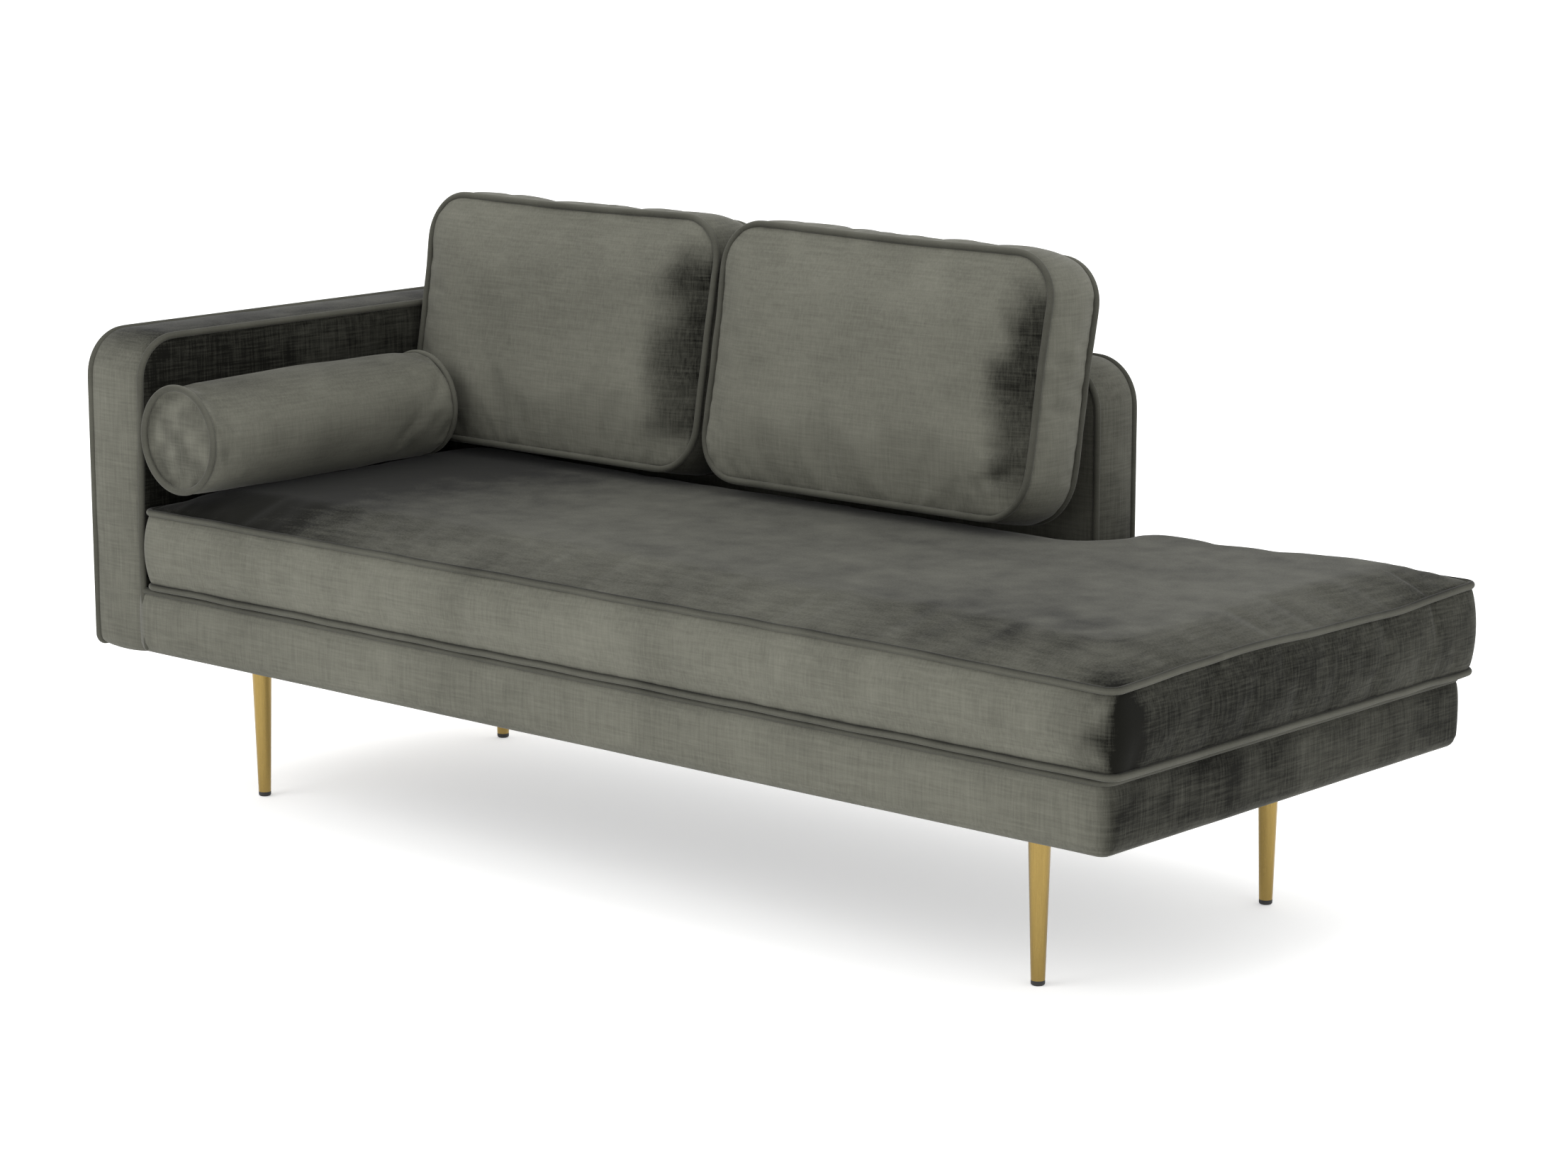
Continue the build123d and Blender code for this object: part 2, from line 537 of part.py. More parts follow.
# ---------------------------------------------------------------- arm: timber
ARM_TIMBER_LOW_X = ARM_OUTER_X + ARM_FRAME_LOW
ARM_TIMBER_HIGH_X = ARM_OUTER_X + ARM_FRAME_HIGH
ARM_TIMBER_BOTTOM_Z = BASE_BOTTOM_Z + PAD_IN
ARM_TIMBER_TOP_Z = ARM_TOP_Z - PAD_IN
TOP_RAIL_BOTTOM_Z = ARM_TIMBER_TOP_Z - POST_WIDTH
CORNER_BOTTOM_Z = ARM_TOP_Z - SHELL_CORNER_RADIUS
ARM_LOWER_RAIL_TOP_Z = ARM_TIMBER_BOTTOM_Z + ARM_LOWER_RAIL_HEIGHT
FRONT_POST_REAR_Y = FRAME_FRONT_Y + POST_WIDTH
REAR_POST_FRONT_Y = FRAME_REAR_Y - POST_WIDTH
ARM_CORNER_REAR_Y = FRONT_Y + SHELL_CORNER_RADIUS

# Name, front, bottom, rear and top of each length of the arm's timber ring.
ARM_TIMBERS = [
    ("arm_front_post", FRAME_FRONT_Y, ARM_TIMBER_BOTTOM_Z, FRONT_POST_REAR_Y, CORNER_BOTTOM_Z),
    ("arm_rear_post", REAR_POST_FRONT_Y, ARM_TIMBER_BOTTOM_Z, FRAME_REAR_Y, TOP_RAIL_BOTTOM_Z),
    ("arm_top_rail", ARM_CORNER_REAR_Y, TOP_RAIL_BOTTOM_Z, FRAME_REAR_Y, ARM_TIMBER_TOP_Z),
]
for name, front, low, rear, high in ARM_TIMBERS:
    with BuildPart() as arm_timber:
        add(arm_block(PAD_IN, ARM_FRAME_LOW, ARM_FRAME_HIGH))
        add(slab((ARM_TIMBER_LOW_X, front, low), (ARM_TIMBER_HIGH_X, rear, high)), mode=Mode.INTERSECT)
    arm_timber.part.label = name
    export_step(arm_timber.part, f"parts/{name}.step")

with BuildPart() as arm_lower_rail:
    rail_low = (ARM_TIMBER_LOW_X, FRONT_POST_REAR_Y, ARM_TIMBER_BOTTOM_Z)
    rail_high = (ARM_TIMBER_HIGH_X, REAR_POST_FRONT_Y, ARM_LOWER_RAIL_TOP_Z)
    add(slab(rail_low, rail_high))
    with BuildSketch(Plane.YZ.offset(ARM_TIMBER_HIGH_X)):
        with Locations(*ARM_BOLT_POINTS):
            Circle(BOLT_HOLE_RADIUS)
    extrude(amount=-ARM_BOLT_LENGTH, mode=Mode.SUBTRACT)
arm_lower_rail.part.label = "arm_lower_rail"
export_step(arm_lower_rail.part, "parts/arm_lower_rail.step")

with BuildPart() as arm_corner_block:
    add(arm_block(PAD_IN, ARM_FRAME_LOW, ARM_FRAME_HIGH))
    corner_low = (ARM_TIMBER_LOW_X, FRAME_FRONT_Y, CORNER_BOTTOM_Z)
    corner_high = (ARM_TIMBER_HIGH_X, ARM_CORNER_REAR_Y, ARM_TIMBER_TOP_Z)
    add(slab(corner_low, corner_high), mode=Mode.INTERSECT)
    inner_high = (ARM_TIMBER_HIGH_X, ARM_CORNER_REAR_Y, TOP_RAIL_BOTTOM_Z)
    add(slab((ARM_TIMBER_LOW_X, FRONT_POST_REAR_Y, CORNER_BOTTOM_Z), inner_high), mode=Mode.SUBTRACT)
arm_corner_block.part.label = "arm_corner_block"
export_step(arm_corner_block.part, "parts/arm_corner_block.step")

with BuildPart() as arm_outer_board:
    add(arm_block(PAD_IN, PAD_SIDE_IN, ARM_FRAME_LOW))
arm_outer_board.part.label = "arm_outer_board"
export_step(arm_outer_board.part, "parts/arm_outer_board.step")

with BuildPart() as arm_inner_board:
    add(arm_block(PAD_IN, ARM_FRAME_HIGH, ARM_FRAME_HIGH + BOARD))
    with BuildSketch(Plane.YZ.offset(ARM_TIMBER_HIGH_X)):
        with Locations(*ARM_BOLT_POINTS):
            Circle(BOLT_HOLE_RADIUS)
    extrude(amount=BOARD, mode=Mode.SUBTRACT)
arm_inner_board.part.label = "arm_inner_board"
export_step(arm_inner_board.part, "parts/arm_inner_board.step")

# Bolts through the base's end rail into the arm, heads inside the base.
with BuildPart() as arm_bolts:
    with BuildSketch(Plane.YZ.offset(INNER_LEFT_X)):
        with Locations(*ARM_BOLT_POINTS):
            Circle(BOLT_HEAD_RADIUS)
    extrude(amount=BOLT_HEAD_HEIGHT)
    with BuildSketch(Plane.YZ.offset(INNER_LEFT_X)):
        with Locations(*ARM_BOLT_POINTS):
            Circle(BOLT_RADIUS)
    extrude(amount=-ARM_BOLT_LENGTH)
arm_bolts.part.label = "arm_bolts"
export_step(arm_bolts.part, "parts/arm_bolts.step")

# ---------------------------------------------------------------- arm: upholstery
with BuildPart() as arm_padding:
    add(arm_block(CLOTH_IN, PIPING_CHANNEL + GAP, ARM_THICKNESS - PIPING_CHANNEL - GAP))
    add(arm_block(PIPING_CHANNEL + GAP, CLOTH_IN, ARM_THICKNESS - CLOTH_IN))
    add(arm_block(PAD_IN, PAD_SIDE_IN, ARM_THICKNESS - PAD_SIDE_IN), mode=Mode.SUBTRACT)
    bare_low = (FRAME_LEFT_X, FRONT_Y, BASE_BOTTOM_Z)
    add(slab(bare_low, (ARM_INNER_X, REAR_Y, BACK_BOTTOM_Z)), mode=Mode.SUBTRACT)
arm_padding.part.label = "arm_padding"
export_step(arm_padding.part, "parts/arm_padding.step")

with BuildPart() as arm_cover_band:
    add(arm_block(CLOTH_OUT, PIPING_CHANNEL, ARM_THICKNESS - PIPING_CHANNEL))
    add(arm_block(CLOTH_IN, PIPING_CHANNEL, ARM_THICKNESS - PIPING_CHANNEL), mode=Mode.SUBTRACT)
arm_cover_band.part.label = "arm_cover_band"
export_step(arm_cover_band.part, "parts/arm_cover_band.step")

with BuildPart() as arm_cover_outer:
    add(arm_block(PIPING_CHANNEL, CLOTH_OUT, CLOTH_IN))
arm_cover_outer.part.label = "arm_cover_outer"
export_step(arm_cover_outer.part, "parts/arm_cover_outer.step")

with BuildPart() as arm_cover_inner:
    add(arm_block(PIPING_CHANNEL, ARM_THICKNESS - CLOTH_IN, ARM_THICKNESS - CLOTH_OUT))
    bare_low = (FRAME_LEFT_X, FRONT_Y, BASE_BOTTOM_Z)
    add(slab(bare_low, (ARM_INNER_X, REAR_Y, BACK_BOTTOM_Z)), mode=Mode.SUBTRACT)
arm_cover_inner.part.label = "arm_cover_inner"
export_step(arm_cover_inner.part, "parts/arm_cover_inner.step")

# The outer cord runs right round the arm; the inner one stops where the back begins.
with BuildPart() as arm_piping:
    cord_points, cord_radii = arm_corners(PIPING_RADIUS)
    add(closed_cord(Plane.YZ.offset(ARM_OUTER_X + PIPING_RADIUS), cord_points, cord_radii, PIPING_RADIUS))
    inner_seam = [
        (FRONT_Y + PIPING_RADIUS, BASE_BOTTOM_Z + PIPING_RADIUS),
        (FRONT_Y + PIPING_RADIUS, ARM_TOP_Z - PIPING_RADIUS),
        (BACK_FRONT_Y, ARM_TOP_Z - PIPING_RADIUS),
    ]
    inner_plane = Plane.YZ.offset(ARM_INNER_X - PIPING_RADIUS)
    add(open_cord(inner_plane, inner_seam, cord_radii[0], PIPING_RADIUS))
arm_piping.part.label = "arm_piping"
export_step(arm_piping.part, "parts/arm_piping.step")

# ---------------------------------------------------------------- back: timber
BACK_TIMBER_LOW_Y = BACK_FRONT_Y + BACK_FRAME_LOW
BACK_TIMBER_HIGH_Y = BACK_FRONT_Y + BACK_FRAME_HIGH
BACK_TIMBER_END_X = BACK_END_X - PAD_IN
BACK_CORNER_LEFT_X = BACK_END_X - SHELL_CORNER_RADIUS
END_POST_LEFT_X = BACK_TIMBER_END_X - POST_WIDTH
MIDDLE_POST_LEFT_X = (ARM_INNER_X + BACK_TIMBER_END_X - POST_WIDTH) / 2
LOWER_RAIL_TOP_Z = BACK_BOTTOM_Z + POST_WIDTH

# Left side and top of each upright: at the arm, in the middle, and at the free end.
BACK_UPRIGHTS = [
    (ARM_INNER_X, TOP_RAIL_BOTTOM_Z),
    (MIDDLE_POST_LEFT_X, TOP_RAIL_BOTTOM_Z),
    (END_POST_LEFT_X, CORNER_BOTTOM_Z),
]
with BuildPart() as back_uprights:
    for left, high in BACK_UPRIGHTS:
        upright_low = (left, BACK_TIMBER_LOW_Y, LOWER_RAIL_TOP_Z)
        add(slab(upright_low, (left + POST_WIDTH, BACK_TIMBER_HIGH_Y, high)))
back_uprights.part.label = "back_uprights"
export_step(back_uprights.part, "parts/back_uprights.step")

with BuildPart() as back_top_rail:
    rail_low = (ARM_INNER_X, BACK_TIMBER_LOW_Y, TOP_RAIL_BOTTOM_Z)
    rail_high = (BACK_CORNER_LEFT_X, BACK_TIMBER_HIGH_Y, ARM_TIMBER_TOP_Z)
    add(slab(rail_low, rail_high))
back_top_rail.part.label = "back_top_rail"
export_step(back_top_rail.part, "parts/back_top_rail.step")

with BuildPart() as back_lower_rail:
    rail_low = (ARM_INNER_X, BACK_TIMBER_LOW_Y, BACK_BOTTOM_Z)
    rail_high = (BACK_TIMBER_END_X, BACK_TIMBER_HIGH_Y, LOWER_RAIL_TOP_Z)
    add(slab(rail_low, rail_high))
    with BuildSketch(Plane.XY.offset(BACK_BOTTOM_Z)):
        with Locations(*[(bolt_x, BACK_BOLT_Y) for bolt_x in BACK_BOLT_XS]):
            Circle(BOLT_HOLE_RADIUS)
    extrude(amount=BACK_BOLT_REACH, mode=Mode.SUBTRACT)
back_lower_rail.part.label = "back_lower_rail"
export_step(back_lower_rail.part, "parts/back_lower_rail.step")

with BuildPart() as back_corner_block:
    add(back_block(PAD_IN, BACK_FRAME_LOW, BACK_FRAME_HIGH))
    corner_low = (BACK_CORNER_LEFT_X, BACK_TIMBER_LOW_Y, CORNER_BOTTOM_Z)
    corner_high = (BACK_TIMBER_END_X, BACK_TIMBER_HIGH_Y, ARM_TIMBER_TOP_Z)
    add(slab(corner_low, corner_high), mode=Mode.INTERSECT)
    inner_high = (END_POST_LEFT_X, BACK_TIMBER_HIGH_Y, TOP_RAIL_BOTTOM_Z)
    add(slab(corner_low, inner_high), mode=Mode.SUBTRACT)
back_corner_block.part.label = "back_corner_block"
export_step(back_corner_block.part, "parts/back_corner_block.step")

for name, low in (("back_front_board", PAD_SIDE_IN), ("back_rear_board", BACK_FRAME_HIGH)):
    with BuildPart() as back_board:
        add(back_block(PAD_IN, low, low + BOARD))
    back_board.part.label = name
    export_step(back_board.part, f"parts/{name}.step")

# Upright bolts, heads under the blocks inside the base.
with BuildPart() as back_bolts:
    bolt_points = [(bolt_x, BACK_BOLT_Y) for bolt_x in BACK_BOLT_XS]
    with BuildSketch(Plane.XY.offset(BACK_BLOCK_BOTTOM_Z)):
        with Locations(*bolt_points):
            Circle(BOLT_HEAD_RADIUS)
    extrude(amount=-BOLT_HEAD_HEIGHT)
    with BuildSketch(Plane.XY.offset(BACK_BLOCK_BOTTOM_Z)):
        with Locations(*bolt_points):
            Circle(BOLT_RADIUS)
    extrude(amount=BACK_BOTTOM_Z + BACK_BOLT_REACH - BACK_BLOCK_BOTTOM_Z)
back_bolts.part.label = "back_bolts"
export_step(back_bolts.part, "parts/back_bolts.step")

# ---------------------------------------------------------------- back: upholstery
with BuildPart() as back_padding:
    add(back_block(CLOTH_IN, PIPING_CHANNEL + GAP, BACK_THICKNESS - PIPING_CHANNEL - GAP))
    add(back_block(PIPING_CHANNEL + GAP, CLOTH_IN, BACK_THICKNESS - CLOTH_IN))
    add(back_block(PAD_IN, PAD_SIDE_IN, BACK_THICKNESS - PAD_SIDE_IN), mode=Mode.SUBTRACT)
back_padding.part.label = "back_padding"
export_step(back_padding.part, "parts/back_padding.step")

with BuildPart() as back_cover_band:
    add(back_block(CLOTH_OUT, PIPING_CHANNEL, BACK_THICKNESS - PIPING_CHANNEL))
    add(back_block(CLOTH_IN, PIPING_CHANNEL, BACK_THICKNESS - PIPING_CHANNEL), mode=Mode.SUBTRACT)
back_cover_band.part.label = "back_cover_band"
export_step(back_cover_band.part, "parts/back_cover_band.step")

for name, low in (("back_cover_front", CLOTH_OUT), ("back_cover_rear", BACK_THICKNESS - CLOTH_IN)):
    with BuildPart() as back_cover:
        add(back_block(PIPING_CHANNEL, low, low + CLOTH_IN - CLOTH_OUT))
    back_cover.part.label = name
    export_step(back_cover.part, f"parts/{name}.step")

with BuildPart() as back_piping:
    seam_top = ARM_TOP_Z - PIPING_RADIUS
    seam_end = BACK_END_X - PIPING_RADIUS
    back_seam = [(ARM_INNER_X, seam_top), (seam_end, seam_top), (seam_end, BACK_BOTTOM_Z)]
    for seam_y in (BACK_FRONT_Y + PIPING_RADIUS, REAR_Y - PIPING_RADIUS):
        seam_radius = SHELL_CORNER_RADIUS - PIPING_RADIUS
        add(open_cord(Plane.XZ.offset(-seam_y), back_seam, seam_radius, PIPING_RADIUS))
back_piping.part.label = "back_piping"
export_step(back_piping.part, "parts/back_piping.step")

# ---------------------------------------------------------------- legs
LEG_NAMES = ["leg_front_arm_end", "leg_rear_arm_end", "leg_front_foot_end", "leg_rear_foot_end"]
for name, (leg_x, leg_y) in zip(LEG_NAMES, LEG_POINTS):
    with BuildPart() as leg:
        with BuildSketch(Plane.XZ.offset(-leg_y)):
            with BuildLine():
                Polyline(
                    (leg_x + LEG_FOOT_RADIUS, GLIDE_HEIGHT),
                    (leg_x + LEG_TOP_RADIUS, PLATE_BOTTOM_Z),
                    (leg_x + STUD_RADIUS, PLATE_BOTTOM_Z),
                    (leg_x + STUD_RADIUS, PLATE_BOTTOM_Z + STUD_LENGTH),
                    (leg_x, PLATE_BOTTOM_Z + STUD_LENGTH),
                    (leg_x, PLATE_BOTTOM_Z - LEG_CAP),
                    (leg_x + LEG_TOP_RADIUS - LEG_TOP_WALL, PLATE_BOTTOM_Z - LEG_CAP),
                    (leg_x + LEG_FOOT_RADIUS - LEG_WALL, GLIDE_HEIGHT),
                    close=True,
                )
            make_face()
        revolve(axis=Axis((leg_x, leg_y, 0), (0, 0, 1)))
    leg.part.label = name
    export_step(leg.part, f"parts/{name}.step")

with BuildPart() as leg_plates:
    with BuildSketch(Plane.XY.offset(PLATE_BOTTOM_Z)):
        with Locations(*LEG_POINTS):
            RectangleRounded(PLATE_SIZE, PLATE_SIZE, PLATE_THICKNESS * 2)
    extrude(amount=PLATE_THICKNESS)
    with BuildSketch(Plane.XY.offset(PLATE_BOTTOM_Z)):
        with Locations(*LEG_POINTS):
            Circle(BOSS_RADIUS)
    extrude(amount=PLATE_THICKNESS + BOSS_HEIGHT)
    with BuildSketch(Plane.XY.offset(PLATE_BOTTOM_Z)):
        with Locations(*LEG_POINTS):
            Circle(STUD_BORE_RADIUS)
            with GridLocations(SCREW_SPACING, SCREW_SPACING, 2, 2):
                Circle(SCREW_HOLE_RADIUS)
    extrude(amount=PLATE_THICKNESS + BOSS_HEIGHT, mode=Mode.SUBTRACT)
leg_plates.part.label = "leg_plates"
export_step(leg_plates.part, "parts/leg_plates.step")

with BuildPart() as plate_screws:
    with BuildSketch(Plane.XY.offset(PLATE_BOTTOM_Z)):
        with Locations(*LEG_POINTS):
            with GridLocations(SCREW_SPACING, SCREW_SPACING, 2, 2):
                Circle(SCREW_HEAD_RADIUS)
    extrude(amount=-SCREW_HEAD_HEIGHT)
    with BuildSketch(Plane.XY.offset(PLATE_BOTTOM_Z)):
        with Locations(*LEG_POINTS):
            with GridLocations(SCREW_SPACING, SCREW_SPACING, 2, 2):
                Circle(SCREW_RADIUS)
    extrude(amount=SCREW_LENGTH)
plate_screws.part.label = "plate_screws"
export_step(plate_screws.part, "parts/plate_screws.step")

# Glides plug into the open feet of the legs and stand on the floor.
with BuildPart() as leg_glides:
    with BuildSketch(Plane.XY):
        with Locations(*LEG_POINTS):
            Circle(LEG_FOOT_RADIUS)
    extrude(amount=GLIDE_HEIGHT)
    fillet(leg_glides.edges().group_by(Axis.Z)[0], GLIDE_ROUND)
    with BuildSketch(Plane.XY.offset(GLIDE_HEIGHT)):
        with Locations(*LEG_POINTS):
            Circle(LEG_FOOT_RADIUS - LEG_WALL - GLIDE_CLEARANCE)
    extrude(amount=GLIDE_STEM)
leg_glides.part.label = "leg_glides"
export_step(leg_glides.part, "parts/leg_glides.step")

# ---------------------------------------------------------------- seat cushion
with BuildPart() as seat_foam:
    add(seat_block(CUSHION_SKIN + CUSHION_SKIN))
seat_foam.part.label = "seat_foam"
export_step(seat_foam.part, "parts/seat_foam.step")

with BuildPart() as seat_cover:
    add(seat_block(CUSHION_SKIN))
    add(seat_block(CUSHION_SKIN + CUSHION_SKIN), mode=Mode.SUBTRACT)
seat_cover.part.label = "seat_cover"
export_step(seat_cover.part, "parts/seat_cover.step")

with BuildPart() as seat_piping:
    cord_points, cord_radii = seat_corners(CUSHION_PIPING_RADIUS)
    for seam_z in (SEAT_BOTTOM_Z + CUSHION_PIPING_RADIUS, SEAT_EDGE_TOP_Z - CUSHION_PIPING_RADIUS):
        add(closed_cord(Plane.XY.offset(seam_z), cord_points, cord_radii, CUSHION_PIPING_RADIUS))
seat_piping.part.label = "seat_piping"
export_step(seat_piping.part, "parts/seat_piping.step")

# ---------------------------------------------------------------- back cushions
BACK_CUSHIONS = [
    ("back_cushion_left", BACK_CUSHION_LEFT_X, BACK_CUSHION_LEFT_WIDTH),
    ("back_cushion_right", BACK_CUSHION_RIGHT_X, BACK_CUSHION_RIGHT_WIDTH),
]
for name, left, width in BACK_CUSHIONS:
    with BuildPart() as cushion_fill:
        add(leaned(back_cushion_block(left, width, CUSHION_SKIN + CUSHION_SKIN)))
    cushion_fill.part.label = f"{name}_fill"
    export_step(cushion_fill.part, f"parts/{name}_fill.step")

    with BuildPart() as cushion_cover:
        add(leaned(back_cushion_block(left, width, CUSHION_SKIN)))
        core = leaned(back_cushion_block(left, width, CUSHION_SKIN + CUSHION_SKIN))
        add(core, mode=Mode.SUBTRACT)
    cushion_cover.part.label = f"{name}_cover"
    export_step(cushion_cover.part, f"parts/{name}_cover.step")

    seam_left = left + CUSHION_PIPING_RADIUS
    seam_right = left + width - CUSHION_PIPING_RADIUS
    seam_low = BACK_CUSHION_BOTTOM_Z + CUSHION_PIPING_RADIUS
    seam_high = BACK_CUSHION_BOTTOM_Z + BACK_CUSHION_HEIGHT - CUSHION_PIPING_RADIUS
    seam = [(seam_left, seam_low), (seam_right, seam_low), (seam_right, seam_high), (seam_left, seam_high)]
    seam_radius = BACK_CUSHION_CORNER_RADIUS - CUSHION_PIPING_RADIUS
    with BuildPart() as cushion_piping:
        for seam_y in (
            BACK_CUSHION_FRONT_Y + CUSHION_PIPING_RADIUS,
            BACK_CUSHION_REAR_Y - CUSHION_PIPING_RADIUS,
        ):
            cord = closed_cord(Plane.XZ.offset(-seam_y), seam, seam_radius, CUSHION_PIPING_RADIUS)
            add(leaned(cord))
    cushion_piping.part.label = f"{name}_piping"
    export_step(cushion_piping.part, f"parts/{name}_piping.step")

# ---------------------------------------------------------------- bolster
with BuildPart() as bolster_fill:
    add(bolster_block(CUSHION_SKIN + CUSHION_SKIN))
bolster_fill.part.label = "bolster_fill"
export_step(bolster_fill.part, "parts/bolster_fill.step")

with BuildPart() as bolster_cover:
    add(bolster_block(CUSHION_SKIN))
    add(bolster_block(CUSHION_SKIN + CUSHION_SKIN), mode=Mode.SUBTRACT)
bolster_cover.part.label = "bolster_cover"
export_step(bolster_cover.part, "parts/bolster_cover.step")

with BuildPart() as bolster_piping:
    for ring_y in (BOLSTER_FRONT_Y + CUSHION_PIPING_RADIUS, BOLSTER_REAR_Y - CUSHION_PIPING_RADIUS):
        with BuildSketch(Plane.XY.offset(BOLSTER_Z)):
            with Locations((BOLSTER_X + BOLSTER_RADIUS - CUSHION_PIPING_RADIUS, ring_y)):
                Circle(CUSHION_PIPING_RADIUS)
        revolve(axis=Axis((BOLSTER_X, ring_y, BOLSTER_Z), (0, 1, 0)))
bolster_piping.part.label = "bolster_piping"
export_step(bolster_piping.part, "parts/bolster_piping.step")
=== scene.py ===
import math

import bpy
import numpy as np
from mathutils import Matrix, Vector


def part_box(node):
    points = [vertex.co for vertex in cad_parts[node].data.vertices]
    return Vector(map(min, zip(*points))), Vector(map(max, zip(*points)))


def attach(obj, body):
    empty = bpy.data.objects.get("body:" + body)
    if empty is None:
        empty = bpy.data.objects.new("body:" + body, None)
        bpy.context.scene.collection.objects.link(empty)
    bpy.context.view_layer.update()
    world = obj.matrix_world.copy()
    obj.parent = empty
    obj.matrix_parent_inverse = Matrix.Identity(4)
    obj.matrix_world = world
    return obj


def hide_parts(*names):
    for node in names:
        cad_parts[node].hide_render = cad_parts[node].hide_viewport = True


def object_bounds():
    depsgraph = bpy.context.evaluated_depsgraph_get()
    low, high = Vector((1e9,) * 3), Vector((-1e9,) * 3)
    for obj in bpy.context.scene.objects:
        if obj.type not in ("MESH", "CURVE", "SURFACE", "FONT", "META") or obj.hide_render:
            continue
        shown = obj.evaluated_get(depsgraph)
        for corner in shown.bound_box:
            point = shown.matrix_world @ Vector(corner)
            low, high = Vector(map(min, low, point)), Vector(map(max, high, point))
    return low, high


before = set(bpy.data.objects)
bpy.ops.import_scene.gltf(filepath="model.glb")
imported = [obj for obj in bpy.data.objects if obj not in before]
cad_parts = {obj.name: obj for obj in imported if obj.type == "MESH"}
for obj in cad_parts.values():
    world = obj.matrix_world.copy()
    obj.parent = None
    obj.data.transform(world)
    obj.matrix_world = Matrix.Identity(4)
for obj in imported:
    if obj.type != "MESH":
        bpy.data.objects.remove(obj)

bl_info = {
    "name": "Velvet Daybed",
    "version": (1, 0, 0),
    "blender": (4, 5, 0),
    "location": "View3D > Sidebar > Daybed",
    "description": "Upholstery, piping, cushions and finishes of a one-armed daybed on its packed frame",
    "category": "Object",
}

# ------------------------------------------------------------------ places taken from the frame
CAD_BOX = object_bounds()


def corners(*nodes):
    """Lowest and highest corner of one or more CAD nodes together, in metres."""
    boxes = [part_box(node) for node in nodes]
    low = np.min([np.array(box[0]) for box in boxes], axis=0)
    high = np.max([np.array(box[1]) for box in boxes], axis=0)
    return low, high


ARM_LOW, ARM_HIGH = corners("arm_piping")
BACK_LOW, BACK_HIGH = corners("back_piping")
BASE_LOW, BASE_HIGH = corners("base_cover", "base_piping")
SEAT_LOW, SEAT_HIGH = corners("seat_piping")
SEAT_TOP = corners("seat_cover")[1][2]
NOTCH_CLEARANCE = 0.005
NOTCH_X = BACK_HIGH[0] + NOTCH_CLEARANCE
NOTCH_Y = BACK_LOW[1] - NOTCH_CLEARANCE

# Rows are where a panel's own u, v and w directions go; w points out of its front.
FACING_UP = np.array([(1, 0, 0), (0, 1, 0), (0, 0, 1)], float)
FACING_FRONT = np.array([(1, 0, 0), (0, 0, 1), (0, -1, 0)], float)
FACING_FOOT = np.array([(0, 1, 0), (0, 0, 1), (1, 0, 0)], float)

SEAM_INSET = 0.005  # depth of a seam below the outermost line of its piping
SHELL_CORD_INSET = 0.004
CUSHION_CORD_INSET = 0.0035
SHELL_CORNER = 0.058  # radius of the free top corners of the arm and the back
CUSHION_CORNER = 0.062  # radius of a back cushion's corners
CUSHION_LEAN = math.radians(10)  # how far a back cushion is tipped back
EDGE_STEPS = (0.0, 0.003, 0.007)  # the first mesh lines beside a seam


# ------------------------------------------------------------------ sizes and colours to change
def length(label, text, value, low=0.0):
    """Length property in metres."""
    return bpy.props.FloatProperty(
        name=label, description=text, default=value, min=low, unit="LENGTH"
    )


def colour(label, text, value):
    """Linear colour property."""
    return bpy.props.FloatVectorProperty(
        name=label, description=text, default=value, subtype="COLOR"
    )


class DaybedSizes(bpy.types.PropertyGroup):
    """Sizes of the soft work, in metres."""

    cell: length("Cell", "Mesh cell of the fixed upholstery before smoothing", 0.010, 0.004)
    seat_cell: length("Seat cell", "Mesh cell of the seat cushion", 0.0115, 0.006)
    cushion_cell: length("Cushion cell", "Mesh cell of back cushions and bolster", 0.0075, 0.004)
    piping: length("Piping", "Radius of the welt cords", 0.0046)
    seat_crown: length("Seat crown", "Rise of the seat cushion's top above its seam", 0.027)
    cushion_crown: length("Back cushion crown", "Rise of a back cushion's front", 0.014)
    swell_limit: length("Swell limit", "Furthest that the simulation may move a point", 0.010)
    pressure: bpy.props.FloatProperty(
        name="Pressure", description="Pressure inside the simulated cushions", default=4.0
    )


class DaybedColours(bpy.types.PropertyGroup):
    """Colours of the finishes, linear."""

    # Painted light and shade: a lit and a near-black shaded copy of the velvet, mixed by the painted
    # shading of each place.
    velvet_painted_lit: colour(
        "Velvet painted lit", "Velvet as painted where light falls", (0.150, 0.149, 0.122)
    )
    velvet_painted_shade: colour("Velvet painted shade", "Velvet as painted in full shade", (0.005, 0.005, 0.0035))
    brass: colour("Brass", "Satin brass of the legs", (0.31, 0.215, 0.066))
    timber: colour("Timber", "Softwood of the frame", (0.56, 0.38, 0.20))
    floor: colour("Floor", "Plain pale floor", (0.92, 0.92, 0.91))


# ------------------------------------------------------------------ flat panels and outlines
def grid_lines(low, high, cell, stops=()):
    """Numbers from low to high about a cell apart, closer beside both ends and every stop."""
    marks = [low, *sorted(stops), high]
    spans = []
    for start, end in zip(marks, marks[1:]):
        inner = np.linspace(
            start + EDGE_STEPS[-1],
            end - EDGE_STEPS[-1],
            max(2, round((end - start - 2 * EDGE_STEPS[-1]) / cell) + 1),
        )
        near = start + np.array(EDGE_STEPS[:-1])
        far = end - np.array(EDGE_STEPS[1:-1][::-1])
        spans.append(np.concatenate([near, inner, far]))
    return np.append(np.concatenate(spans), high)


